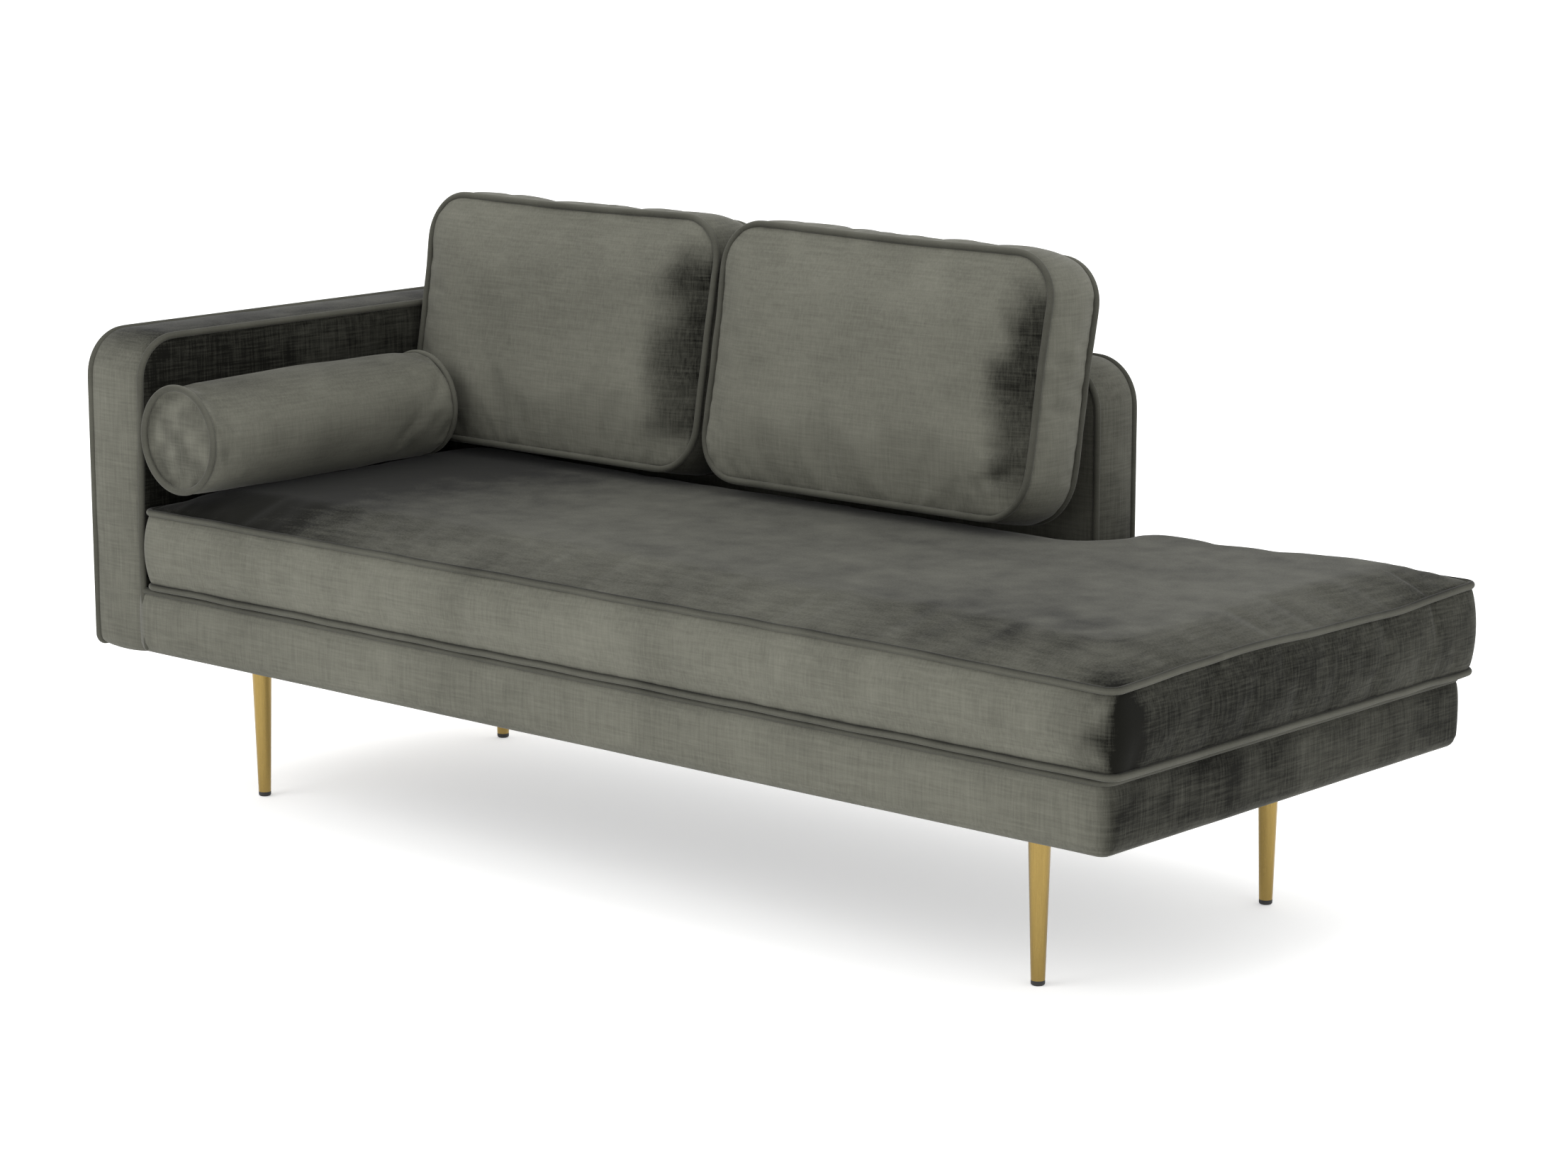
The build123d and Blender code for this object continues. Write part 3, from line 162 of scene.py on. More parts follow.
def round_corner(points, corner, sides, radius):
    """Turns the square of one radius at a corner into a quarter disc.

    With s and t from 0 to 1 across the square, the point goes to s times the root of
    1 - t squared / 2, and t times the root of 1 - s squared / 2. Sides are the signs of the
    directions in which the corner points.
    """
    side_u, side_v = sides
    centre_u = corner[0] - side_u * radius
    centre_v = corner[1] - side_v * radius
    s = (points[:, 0] - centre_u) * side_u / radius
    t = (points[:, 1] - centre_v) * side_v / radius
    inside = (s > 0) & (t > 0) & (s < 1.001) & (t < 1.001)
    s, t = s[inside], t[inside]
    points[inside, 0] = centre_u + side_u * radius * s * np.sqrt(1 - t * t / 2)
    points[inside, 1] = centre_v + side_v * radius * t * np.sqrt(1 - s * s / 2)


def flat_panel(low, high, radii, cell, notch=None):
    """Points of a rounded rectangle, its quads, and its edge as one loop against the clock.

    A notch (u, v) leaves out what lies below u and above v. Radii go round against the clock
    from the low corner, with both convex corners of a notch in place of the one it takes.
    """
    us = grid_lines(low[0], high[0], cell, [] if notch is None else [notch[0]])
    vs = grid_lines(low[1], high[1], cell, [] if notch is None else [notch[1]])
    grid_u, grid_v = np.meshgrid(us, vs, indexing="ij")
    points = np.stack([grid_u.ravel(), grid_v.ravel()], axis=1)
    index = np.arange(len(points)).reshape(len(us), len(vs))
    quads = np.stack([index[:-1, :-1], index[1:, :-1], index[1:, 1:], index[:-1, 1:]], axis=-1)
    last_u = len(us) - 1
    last_v = len(vs) - 1
    stops = [(0, 0), (last_u, 0), (last_u, last_v), (0, last_v)]
    turns = [
        (low, (-1, -1)),
        ((high[0], low[1]), (1, -1)),
        (high, (1, 1)),
        ((low[0], high[1]), (-1, 1)),
    ]
    keep = np.ones(quads.shape[:2], bool)
    if notch is not None:
        notch_u = int(np.argmin(abs(us - notch[0])))
        notch_v = int(np.argmin(abs(vs - notch[1])))
        keep[:notch_u, notch_v:] = False
        stops[3:] = [(notch_u, last_v), (notch_u, notch_v), (0, notch_v)]
        turns[3:] = [((notch[0], high[1]), (-1, 1)), ((low[0], notch[1]), (-1, 1))]
    loop = []
    for (i, j), (k, m) in zip(stops, stops[1:] + stops[:1]):
        steps = max(abs(k - i), abs(m - j))
        walk_i = np.linspace(i, k, steps, endpoint=False).round().astype(int)
        walk_j = np.linspace(j, m, steps, endpoint=False).round().astype(int)
        loop.append(index[walk_i, walk_j])
    loop = np.concatenate(loop)
    quads = quads[keep].reshape(-1, 4)
    for (corner, sides), radius in zip(turns, radii):
        round_corner(points, corner, sides, radius)
    used = np.unique(quads)
    renumber = np.full(len(points), -1)
    renumber[used] = np.arange(len(used))
    return points[used], renumber[quads], renumber[loop]


def rounded_path(corner_points, radii, step, closed, runs=None, arc_steps=8):
    """Points along straight runs joined by tangent arcs, in the plane of the corners.

    At each corner the arc starts and ends radius over the tangent of half the inner angle away.
    Runs are how many points each straight run gets; without them it is its length over step.
    """
    points = np.asarray(corner_points, float)
    count = len(points)
    starts, ends, arcs = [], [], []
    for k in range(count):
        corner = points[k]
        if not closed and k in (0, count - 1):
            starts.append(corner)
            ends.append(corner)
            arcs.append(corner[None, :])
            continue
        back = points[k - 1] - corner
        ahead = points[(k + 1) % count] - corner
        back /= np.linalg.norm(back)
        ahead /= np.linalg.norm(ahead)
        half = math.acos(np.clip(back @ ahead, -1, 1)) / 2
        reach = radii[k] / math.tan(half)
        middle = (back + ahead) / np.linalg.norm(back + ahead)
        centre = corner + middle * radii[k] / math.sin(half)
        first = corner + back * reach - centre
        last = corner + ahead * reach - centre
        turn = math.pi - 2 * half
        share = np.linspace(0, 1, arc_steps + 1)[:, None]
        arc = (first * np.sin((1 - share) * turn) + last * np.sin(share * turn)) / math.sin(turn)
        arcs.append(centre + arc)
        starts.append(corner + back * reach)
        ends.append(corner + ahead * reach)
    path = []
    for k in range(count):
        path.append(arcs[k])
        if not closed and k == count - 1:
            break
        after = starts[(k + 1) % count]
        number = max(2, round(np.linalg.norm(after - ends[k]) / step)) if runs is None else runs[k]
        share = np.linspace(0, 1, number + 1)[1:-1, None]
        path.append(ends[k] + (after - ends[k]) * share)
    return np.concatenate(path)


def outward_normals(loop_points):
    """Unit normals of a closed plane loop that runs against the clock, pointing outwards."""
    along = np.roll(loop_points, -1, axis=0) - np.roll(loop_points, 1, axis=0)
    normals = np.stack([along[:, 1], -along[:, 0]], axis=1)
    return normals / np.linalg.norm(normals, axis=1)[:, None]


def distance_along(loop_points):
    """Distance from the first point along a closed loop, and the loop's whole length."""
    steps = np.linalg.norm(np.roll(loop_points, -1, axis=0) - loop_points, axis=1)
    return np.concatenate([[0], np.cumsum(steps)[:-1]]), steps.sum()


def nearest_edge(points, loop_points):
    """For each point, how far it is from the loop, and which loop point is nearest to it."""
    gaps = np.linalg.norm(points[:, None, :] - loop_points[None, :, :], axis=2)
    nearest = gaps.argmin(axis=1)
    return gaps[np.arange(len(points)), nearest], nearest


# ------------------------------------------------------------------ noise, creases and crowns
def waves(places, length, seed, longest=0.12, shortest=0.018, count=36):
    """Smooth noise along a closed line, about -1 to 1: whole sine waves of random size."""
    random = np.random.default_rng(seed)
    numbers = random.integers(max(1, int(length / longest)), max(2, int(length / shortest)), count)
    sizes = random.uniform(0.3, 1.0, count)
    starts = random.uniform(0, 2 * np.pi, count)
    angles = 2 * np.pi * places[:, None] * numbers[None, :] / length + starts[None, :]
    return (np.sin(angles) * sizes).sum(axis=1) / math.sqrt(count)


def cloud(points, size, seed, count=20):
    """Smooth noise in space, about -1 to 1: plane sine waves about size long, any direction."""
    random = np.random.default_rng(seed)
    directions = random.normal(size=(count, points.shape[1]))
    directions /= np.linalg.norm(directions, axis=1)[:, None]
    lengths = size * random.uniform(0.6, 1.8, count)
    starts = random.uniform(0, 2 * np.pi, count)
    angles = points @ directions.T * (2 * np.pi / lengths)[None, :] + starts[None, :]
    return np.sin(angles).sum(axis=1) / math.sqrt(count)


def hump(values, middle, width):
    """Bell of height 1: e to the minus square of the distance from the middle over the width."""
    return np.exp(-(((values - middle) / width) ** 2))


def ease(values, start, end):
    """0 before start, 1 after end, and 3 t squared - 2 t cubed between them."""
    t = np.clip((values - start) / (end - start), 0, 1)
    return t * t * (3 - 2 * t)


def crease(points, start, end, width):
    """Groove along a line, deepest in the middle: a bell across it, times a sine along it."""
    start = np.asarray(start, float)
    along = np.asarray(end, float) - start
    length = np.linalg.norm(along)
    along = along / length
    offset = points - start
    share = np.clip(offset @ along / length, 0, 1)
    across = np.linalg.norm(offset - share[:, None] * length * along, axis=1)
    return np.exp(-((across / width) ** 2)) * np.sin(np.pi * (0.06 + 0.88 * share))


def crown(distance, lip, height, run):
    """Rise of a stuffed panel above its seam at a distance from it.

    The lip is reached within a few millimetres as 1 - e to the -d / 3 mm, and the rest of the
    height as the sine of the distance's share of the run.
    """
    quick = lip * (1 - np.exp(-distance / 0.003))
    return quick + (height - lip) * np.sin(np.clip(distance / run, 0, 1) * np.pi / 2)


def puckers(distance, places, length, seed, depth, reach, shortest=0.018):
    """Depth of the gathers beside a seam: noise along the seam that fades away from it."""
    wave = waves(places, length, seed, shortest=shortest)
    fade = np.exp(-distance / reach) * (1 - np.exp(-distance / 0.004))
    return depth * np.clip(wave, 0, None) * fade


# ------------------------------------------------------------------ meshes
def new_piece(name, points, faces):
    """Smooth-shaded mesh object with its place in its mesh, linked to the scene."""
    mesh = bpy.data.meshes.new(name)
    mesh.from_pydata(points.tolist(), [], faces if isinstance(faces, list) else faces.tolist())
    mesh.validate()
    mesh.shade_smooth()
    piece = bpy.data.objects.new(name, mesh)
    bpy.context.scene.collection.objects.link(piece)
    return piece


def read_points(mesh):
    """Vertex places of a mesh, one row each."""
    flat = np.empty(len(mesh.vertices) * 3)
    mesh.vertices.foreach_get("co", flat)
    return flat.reshape(-1, 3)


def write_points(mesh, points):
    """Puts rows of places into a mesh's vertices."""
    mesh.vertices.foreach_set("co", np.ascontiguousarray(points).ravel())
    mesh.update()


def read_normals(mesh):
    """Vertex normals of a mesh, one row each."""
    flat = np.empty(len(mesh.vertices) * 3)
    mesh.vertex_normals.foreach_get("vector", flat)
    return flat.reshape(-1, 3)


def smooth_once(piece):
    """One level of subdivision, the same in view and in render."""
    smoother = piece.modifiers.new("Smooth", "SUBSURF")
    smoother.levels = 1
    smoother.render_levels = 1


def paint_facing_shade(piece, foot, arm, rear, front, top, under):
    """Stores painted light and shade by facing, as a point attribute that the velvet reads.

    Each of the six values is how light one facing is painted, standing in for how light falls on it;
    between them the squares of the normal's three parts are their shares.
    """
    normals = read_normals(piece.data)
    shares = normals**2
    values = np.where(normals[:, 0] > 0, foot, arm) * shares[:, 0]
    values += np.where(normals[:, 1] > 0, rear, front) * shares[:, 1]
    values += np.where(normals[:, 2] > 0, top, under) * shares[:, 2]
    store_value(piece.data, "painted_shading_and_mottle", values)
    return values


def store_value(mesh, name, values):
    """Keeps one number for each vertex as a named attribute, for the materials to read."""
    attribute = mesh.attributes.get(name) or mesh.attributes.new(name, "FLOAT", "POINT")
    attribute.data.foreach_set("value", np.asarray(values, np.float32))


class Pillow:
    """Closed form of two panels joined by a band, before it becomes a mesh.

    A panel point (u, v) has its front at w = high and its rear at w = low. The band is the
    panel's edge loop carried from the rear to the front through rows at given shares of the
    depth, each moved out along the loop's own normals.
    """

    def __init__(self, panel, low, high, shares, axes):
        self.points, self.quads, self.loop = panel
        self.count = len(self.points)
        self.edge = self.points[self.loop]
        self.normals = outward_normals(self.edge)
        self.places, self.length = distance_along(self.edge)
        self.distance, nearest = nearest_edge(self.points, self.edge)
        self.panel_places = self.places[nearest]
        self.low, self.high, self.axes = low, high, axes
        self.shares = np.asarray(shares, float)
        self.front = np.full(self.count, high)
        self.rear = np.full(self.count, low)
        self.out = np.zeros((len(self.shares), len(self.loop)))

    def band_depths(self):
        """Distance of each band row from the rear seam and from the front seam."""
        depth = self.high - self.low
        return self.shares[:, None] * depth, (1 - self.shares[:, None]) * depth

    def build(self, name):
        """Mesh object of the form, and the numbers of the points on its two seams."""
        rings = self.edge[None] + self.normals[None] * self.out[:, :, None]
        depth = self.low + self.shares * (self.high - self.low)
        band = np.concatenate(
            [rings, np.broadcast_to(depth[:, None, None], (*self.out.shape, 1))], axis=2
        ).reshape(-1, 3)
        front = np.column_stack([self.points, self.front])
        rear = np.column_stack([self.points, self.rear])
        points = np.concatenate([front, rear, band])
        size = len(self.loop)
        numbers = [self.loop + self.count]
        numbers += [2 * self.count + k * size + np.arange(size) for k in range(len(self.shares))]
        numbers += [self.loop]
        faces = [self.quads, self.quads[:, ::-1] + self.count]
        for lower, upper in zip(numbers, numbers[1:]):
            faces.append(np.stack([lower, np.roll(lower, -1), np.roll(upper, -1), upper], axis=1))
        piece = new_piece(name, points @ self.axes, np.concatenate(faces))
        return piece, np.concatenate([self.loop, self.loop + self.count])


def band_shares(depth, cell):
    """Shares of a band's depth for its rows, closer beside both seams, the seams left out."""
    return (grid_lines(0, depth, cell)[1:-1]) / depth


def boxed(panel, low, high, cell, axes):
    """Form of a panel between two depths, its band divided into cells."""
    return Pillow(panel, low, high, band_shares(high - low, cell), axes)


def swell(piece, seams, sizes, slack, limit):
    """Blows the piece up with Blender's Cloth while its seams are held, and keeps the result.

    Slack is how much longer the cloth is than the form. No point moves further than the limit.
    """
    before = read_points(piece.data)
    held = piece.vertex_groups.new(name="seams")
    held.add(seams.tolist(), 1.0, "REPLACE")
    cloth = piece.modifiers.new("Swell", "CLOTH")
    cloth.settings.quality = 5
    cloth.settings.use_pressure = True
    cloth.settings.uniform_pressure_force = sizes.pressure
    cloth.settings.effector_weights.gravity = 0
    cloth.settings.vertex_group_mass = "seams"
    cloth.settings.shrink_min = -slack
    cloth.collision_settings.use_collision = False
    cloth.point_cache.frame_start = 1
    cloth.point_cache.frame_end = 20
    scene = bpy.context.scene
    for moment in range(1, 21):
        scene.frame_set(moment)
    evaluated = piece.evaluated_get(bpy.context.evaluated_depsgraph_get())
    after = read_points(evaluated.data)
    piece.modifiers.remove(cloth)
    piece.vertex_groups.remove(held)
    scene.frame_set(1)
    if len(after) != len(before) or not np.isfinite(after).all():
        raise RuntimeError(f"{piece.name}: the cloth simulation gave no usable mesh")
    move = after - before
    far = np.linalg.norm(move, axis=1)[:, None]
    write_points(piece.data, before + move * np.minimum(1, limit / np.maximum(far, 1e-9)))


def cord_points(path, radius, closed, normal, sides=10):
    """Points and faces of a round cord along a path in one plane.

    Each path point gets a ring: the radius times the cosine sideways in the plane, and the
    radius times the sine along the plane's normal. The ends of an open cord are single faces.
    """
    path = np.asarray(path, float)
    if closed:
        along = np.roll(path, -1, axis=0) - np.roll(path, 1, axis=0)
    else:
        along = np.gradient(path, axis=0)
    along /= np.linalg.norm(along, axis=1)[:, None]
    sideways = np.cross(along, np.asarray(normal, float))
    sideways /= np.linalg.norm(sideways, axis=1)[:, None]
    upward = np.cross(sideways, along)
    angles = np.linspace(0, 2 * np.pi, sides, endpoint=False)
    ring = (
        np.cos(angles)[None, :, None] * sideways[:, None, :]
        + np.sin(angles)[None, :, None] * upward[:, None, :]
    )
    points = (path[:, None, :] + radius * ring).reshape(-1, 3)
    index = np.arange(len(points)).reshape(len(path), sides)
    after = np.roll(index, -1, axis=0) if closed else index[1:]
    before = index if closed else index[:-1]
    faces = np.stack(
        [before, np.roll(before, -1, axis=1), np.roll(after, -1, axis=1), after], axis=-1
    ).reshape(-1, 4)
    face_list = faces.tolist()
    if not closed:
        face_list += [index[0, ::-1].tolist(), index[-1].tolist()]
    return points, face_list


def piping(name, cords, radius, shift=None):
    """One piece of several cords: (path in space, closed, plane normal) each, moved by shift."""
    points, faces, start = [], [], 0
    for path, closed, normal in cords:
        moved = path if shift is None else shift(path)
        cord, cord_faces = cord_points(moved, radius, closed, normal)
        points.append(cord)
        faces += [[start + k for k in face] for face in cord_faces]
        start += len(cord)
    piece = new_piece(name, np.concatenate(points), faces)
    smooth_once(piece)
    return piece


def in_plane(path, level, axes):
    """Puts a path of (u, v) at depth w = level into space."""
    return np.column_stack([path, np.full(len(path), level)]) @ axes


# ------------------------------------------------------------------ shader building
class Shading:
    """Short way to place and join nodes in one tree."""

    def __init__(self, tree):
        self.tree = tree
        self.column = 0

    def node(self, kind, **values):
        """Adds a node; each value sets the node's property of the same name."""
        node = self.tree.nodes.new(kind)
        self.column += 1
        node.location = (self.column * 190, 0)
        for key, value in values.items():
            setattr(node, key, value)
        return node

    def join(self, source, target):
        """Links an output socket to an input socket."""
        self.tree.links.new(source, target)

    def math(self, operation, first, second=None, clamp=False):
        """Math node on sockets or numbers; its result."""
        node = self.node("ShaderNodeMath", operation=operation, use_clamp=clamp)
        for socket, value in zip(node.inputs, (first, second)):
            if isinstance(value, bpy.types.NodeSocket):
                self.join(value, socket)
            elif value is not None:
                socket.default_value = value
        return node.outputs[0]

    def mix(self, factor, first, second):
        """Colour mix on sockets or colours; its result."""
        node = self.node("ShaderNodeMix", data_type="RGBA")
        for name, value in (("Factor_Float", factor), ("A_Color", first), ("B_Color", second)):
            socket = next(s for s in node.inputs if s.identifier == name)
            if isinstance(value, bpy.types.NodeSocket):
                self.join(value, socket)
            else:
                socket.default_value = value
        return next(s for s in node.outputs if s.identifier == "Result_Color")

    def noise(self, coordinates, scale, detail=2.0, stretch=None, roughness=0.5, distortion=0.0):
        """Noise from 0 to 1 on coordinates, which stretch multiplies first; its value."""
        if stretch is not None:
            mapping = self.node("ShaderNodeMapping")
            self.join(coordinates, mapping.inputs["Vector"])
            mapping.inputs["Scale"].default_value = stretch
            coordinates = mapping.outputs[0]
        noise = self.node("ShaderNodeTexNoise")
        self.join(coordinates, noise.inputs["Vector"])
        noise.inputs["Scale"].default_value = scale
        noise.inputs["Detail"].default_value = detail
        noise.inputs["Roughness"].default_value = roughness
        noise.inputs["Distortion"].default_value = distortion
        return noise.outputs["Fac"]

    def range(self, value, low, high):
        """Stretches low to high onto 0 to 1 and holds it there."""
        node = self.node("ShaderNodeMapRange")
        self.join(value, node.inputs["Value"])
        node.inputs["From Min"].default_value = low
        node.inputs["From Max"].default_value = high
        return node.outputs[0]

    def object_coordinates(self):
        """The object's own coordinates."""
        return self.node("ShaderNodeTexCoord").outputs["Object"]


def new_group(name, inputs, outputs):
    """Shader node group with named sockets: (name, kind, default); its tree, input and output."""
    tree = bpy.data.node_groups.new(name, "ShaderNodeTree")
    for socket_name, kind, default in inputs:
        socket = tree.interface.new_socket(name=socket_name, in_out="INPUT", socket_type=kind)
        socket.default_value = default
    for socket_name, kind in outputs:
        tree.interface.new_socket(name=socket_name, in_out="OUTPUT", socket_type=kind)
    return tree, tree.nodes.new("NodeGroupInput"), tree.nodes.new("NodeGroupOutput")


SURFACE_OUTPUTS = [
    ("Color", "NodeSocketColor"),
    ("Roughness", "NodeSocketFloat"),
    ("Height", "NodeSocketFloat"),
]


def velvet_group():
    """Velvet mixed from its painted shade colour to its painted lit colour by the painted shading it is
    given, with mottled patches, streaks and fine grain.
    """
    existing = bpy.data.node_groups.get("Velvet pile and painted shading")
    if existing is not None:
        return existing
    tree, given, result = new_group(
        "Velvet pile and painted shading",
        [
            ("Light", "NodeSocketColor", (0.2, 0.2, 0.2, 1)),
            ("Painted shade", "NodeSocketColor", (0.01, 0.01, 0.01, 1)),
            ("Painted shading and mottle", "NodeSocketFloat", 0.6),
            ("Patches", "NodeSocketFloat", 0.2),
            ("Streaks", "NodeSocketFloat", 0.1),
        ],
        SURFACE_OUTPUTS,
    )
    shade = Shading(tree)
    place = shade.object_coordinates()
    broad = shade.math("SUBTRACT", shade.noise(place, 5.0, 3.0, distortion=0.6), 0.5)
    blotch = shade.noise(place, 21.0, 4.0, roughness=0.6, distortion=0.4)
    smudge = shade.math("SUBTRACT", blotch, 0.5)
    patch = shade.math("ADD", broad, shade.math("MULTIPLY", smudge, 0.6))
    patch = shade.math("MULTIPLY", patch, given.outputs["Patches"])
    upright = shade.noise(place, 1.0, 4.0, stretch=(420.0, 420.0, 22.0), roughness=0.6)
    level = shade.noise(place, 1.0, 4.0, stretch=(22.0, 22.0, 420.0), roughness=0.6)
    streak = shade.math("SUBTRACT", shade.math("ADD", upright, level), 1.0)
    streak = shade.math("MULTIPLY", streak, given.outputs["Streaks"])
    pile = shade.noise(place, 1100.0, 1.0)
    grain = shade.math("MULTIPLY", shade.math("SUBTRACT", pile, 0.5), 0.16)
    # The painted shading that comes in, plus the mottled patches, streaks and grain, sets how lit the
    # colour is painted.
    lie = shade.math("ADD", given.outputs["Painted shading and mottle"], patch)
    lie = shade.math("ADD", lie, streak)
    lie = shade.math("ADD", lie, grain, clamp=True)
    tint = shade.mix(lie, given.outputs["Painted shade"], given.outputs["Light"])
    shade.join(tint, result.inputs["Color"])
    rough = shade.math("SUBTRACT", 0.95, shade.math("MULTIPLY", lie, 0.2))
    shade.join(rough, result.inputs["Roughness"])
    height = shade.math("ADD", shade.math("MULTIPLY", pile, 0.5), smudge)
    shade.join(height, result.inputs["Height"])
    return tree


def mottle_group():
    """Two colours mixed by noise that can be stretched along one axis, with a bump height."""
    existing = bpy.data.node_groups.get("Mottle")
    if existing is not None:
        return existing
    tree, given, result = new_group(
        "Mottle",
        [
            ("Base", "NodeSocketColor", (0.5, 0.5, 0.5, 1)),
            ("Mark", "NodeSocketColor", (0.3, 0.3, 0.3, 1)),
            ("Stretch", "NodeSocketVector", (40.0, 40.0, 40.0)),
            ("Amount", "NodeSocketFloat", 0.5),
            ("Rough", "NodeSocketFloat", 0.5),
        ],
        SURFACE_OUTPUTS,
    )
    shade = Shading(tree)
    place = shade.object_coordinates()
    scaled = shade.node("ShaderNodeVectorMath", operation="MULTIPLY")
    shade.join(place, scaled.inputs[0])
    shade.join(given.outputs["Stretch"], scaled.inputs[1])
    wide = shade.noise(scaled.outputs[0], 1.0, 5.0, roughness=0.6, distortion=0.8)
    fine = shade.noise(scaled.outputs[0], 6.0, 3.0)
    wide = shade.math("MULTIPLY", wide, 0.7)
    fine = shade.math("MULTIPLY", fine, 0.3)
    mask = shade.range(shade.math("ADD", wide, fine), 0.35, 0.65)
    amount = shade.math("MULTIPLY", mask, given.outputs["Amount"])
    tint = shade.mix(amount, given.outputs["Base"], given.outputs["Mark"])
    shade.join(tint, result.inputs["Color"])
    spread = shade.math("MULTIPLY", shade.math("SUBTRACT", mask, 0.5), 0.14)
    rough = shade.math("ADD", given.outputs["Rough"], spread)
    shade.join(rough, result.inputs["Roughness"])
    shade.join(mask, result.inputs["Height"])
    return tree


def opaque(tone, share=1.0):
    """Colour times a share, with full alpha."""
    return (*(part * share for part in tone), 1.0)


def material_from(name, group, values, bump, constants, painted_shading_and_mottle=False):
    """Principled material fed by one node group.

    Bump is (strength, distance in metres). Constants set the surface's own inputs by name.
    """
    material = bpy.data.materials.new(name)
    material.use_nodes = True
    shade = Shading(material.node_tree)
    surface = material.node_tree.nodes["Principled BSDF"]
    block = shade.node("ShaderNodeGroup", node_tree=group)
    for key, value in values.items():
        block.inputs[key].default_value = value
    # The velvet reads its painted light and shade, with its mottling, from the point attribute.
    if painted_shading_and_mottle:
        lie = shade.node("ShaderNodeAttribute", attribute_name="painted_shading_and_mottle")
        shade.join(lie.outputs["Fac"], block.inputs["Painted shading and mottle"])
    shade.join(block.outputs["Color"], surface.inputs["Base Color"])
    shade.join(block.outputs["Roughness"], surface.inputs["Roughness"])
    relief = shade.node("ShaderNodeBump")
    relief.inputs["Strength"].default_value = bump[0]
    relief.inputs["Distance"].default_value = bump[1]
    shade.join(block.outputs["Height"], relief.inputs["Height"])
    shade.join(relief.outputs["Normal"], surface.inputs["Normal"])
    for key, value in constants.items():
        surface.inputs[key].default_value = value
    return material


# Slot: patches, streaks, sheen weight, bump.
PILE_FINISHES = {
    "velvet": (0.40, 0.42, 0.10, (0.5, 0.0006)),
    "velvet_piping": (0.35, 0.10, 0.14, (0.4, 0.0004)),
}


def hard_finishes(colours):
    """By slot: base and mark colour, stretch, amount, roughness, bump, constants."""
    brass, timber = colours.brass, colours.timber
    return {
        "brass": (
            opaque(brass), opaque(brass, 0.82), (420.0, 420.0, 14.0), 0.6, 0.30,
            (0.12, 0.0002), {"Metallic": 1.0, "Coat Weight": 0.15},
        ),
        "timber": (
            opaque(timber), opaque(timber, 0.55), (6.0, 70.0, 70.0), 0.55, 0.7,
            (0.35, 0.0008), {},
        ),
        "board": (
            (0.30, 0.19, 0.10, 1), (0.18, 0.11, 0.06, 1), (160.0, 160.0, 160.0), 0.7, 0.8,
            (0.3, 0.0006), {},
        ),
        "zinc_steel": (
            (0.62, 0.63, 0.65, 1), (0.42, 0.43, 0.46, 1), (90.0, 90.0, 90.0), 0.7, 0.34,
            (0.15, 0.0003), {"Metallic": 1.0},
        ),
        "black_rubber": (
            (0.012, 0.012, 0.012, 1), (0.03, 0.03, 0.03, 1), (300.0, 300.0, 300.0), 0.5, 0.6,
            (0.2, 0.0003), {},
        ),
        "black_lining": (
            (0.010, 0.010, 0.011, 1), (0.032, 0.032, 0.035, 1), (700.0, 700.0, 700.0), 0.8, 0.85,
            (0.6, 0.0006), {"Sheen Weight": 0.2, "Sheen Roughness": 0.4},
        ),
    }


NAMES = {
    "velvet": "Velvet",
    "velvet_piping": "Velvet piping",
    "brass": "Satin brass",
    "timber": "Frame timber",
    "board": "Fibre board",
    "zinc_steel": "Zinc steel",
    "black_rubber": "Black rubber",
    "black_lining": "Black lining",
}


def finish_materials(context):
    """Every material of the object by its slot's name, made once and kept."""
    colours = context.scene.daybed_colours
    made = bpy.data.materials
    if made.get("Velvet") is None:
        pile = velvet_group()
        mottle = mottle_group()
        for slot, (patches, streaks, sheen, bump) in PILE_FINISHES.items():
            # The velvet's painted lit and painted shade copies, between which its painted shading mixes.
            values = {
                "Light": opaque(colours.velvet_painted_lit),
                "Painted shade": opaque(colours.velvet_painted_shade),
                "Patches": patches,
                "Streaks": streaks,
            }
            constants = {
                "Sheen Weight": sheen,
                "Sheen Roughness": 0.35,
                "Specular IOR Level": 0.12,
            }
            material_from(NAMES[slot], pile, values, bump, constants, painted_shading_and_mottle=True)
        for slot, finish in hard_finishes(colours).items():
            base, mark, stretch, amount, rough, bump, constants = finish
            values = {
                "Base": base,
                "Mark": mark,
                "Stretch": stretch,
                "Amount": amount,
                "Rough": rough,
            }
            material_from(NAMES[slot], mottle, values, bump, constants)
    return {slot: made[name] for slot, name in NAMES.items()}


def dress(context, piece, slot, body):
    """Gives a new piece its finish and its body."""
    piece.data.materials.append(finish_materials(context)[slot])
    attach(piece, body)


def finish_soft(context, piece, body, replaced):
    """Gives a padded piece its velvet, its body, and the CAD nodes that it stands for."""
    dress(context, piece, "velvet", body)
    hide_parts(*replaced)


def welt(context, name, body, replaced, cords, shift=None, **lie):
    """Piping with its own painted shading by facing; lie holds the six facing values of that painted
    shading.
    """
    cord = piping(name, cords, context.scene.daybed_sizes.piping, shift)
    paint_facing_shade(cord, **lie)
    dress(context, cord, "velvet_piping", body)
    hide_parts(replaced)


def wavy_cords(path, levels, axes, axis, size, longest, shortest):
    """Closed cords of one path at several depths, waving along one axis of space.

    Levels are pairs of the depth and the seed of its waves.
    """
    places, length = distance_along(path)
    normal = np.eye(3)[axis]
    cords = []
    for level, seed in levels:
        cord = in_plane(path, level, axes)
        cord[:, axis] += size * waves(places, length, seed, longest=longest, shortest=shortest)
        cords.append((cord, True, normal))
    return cords


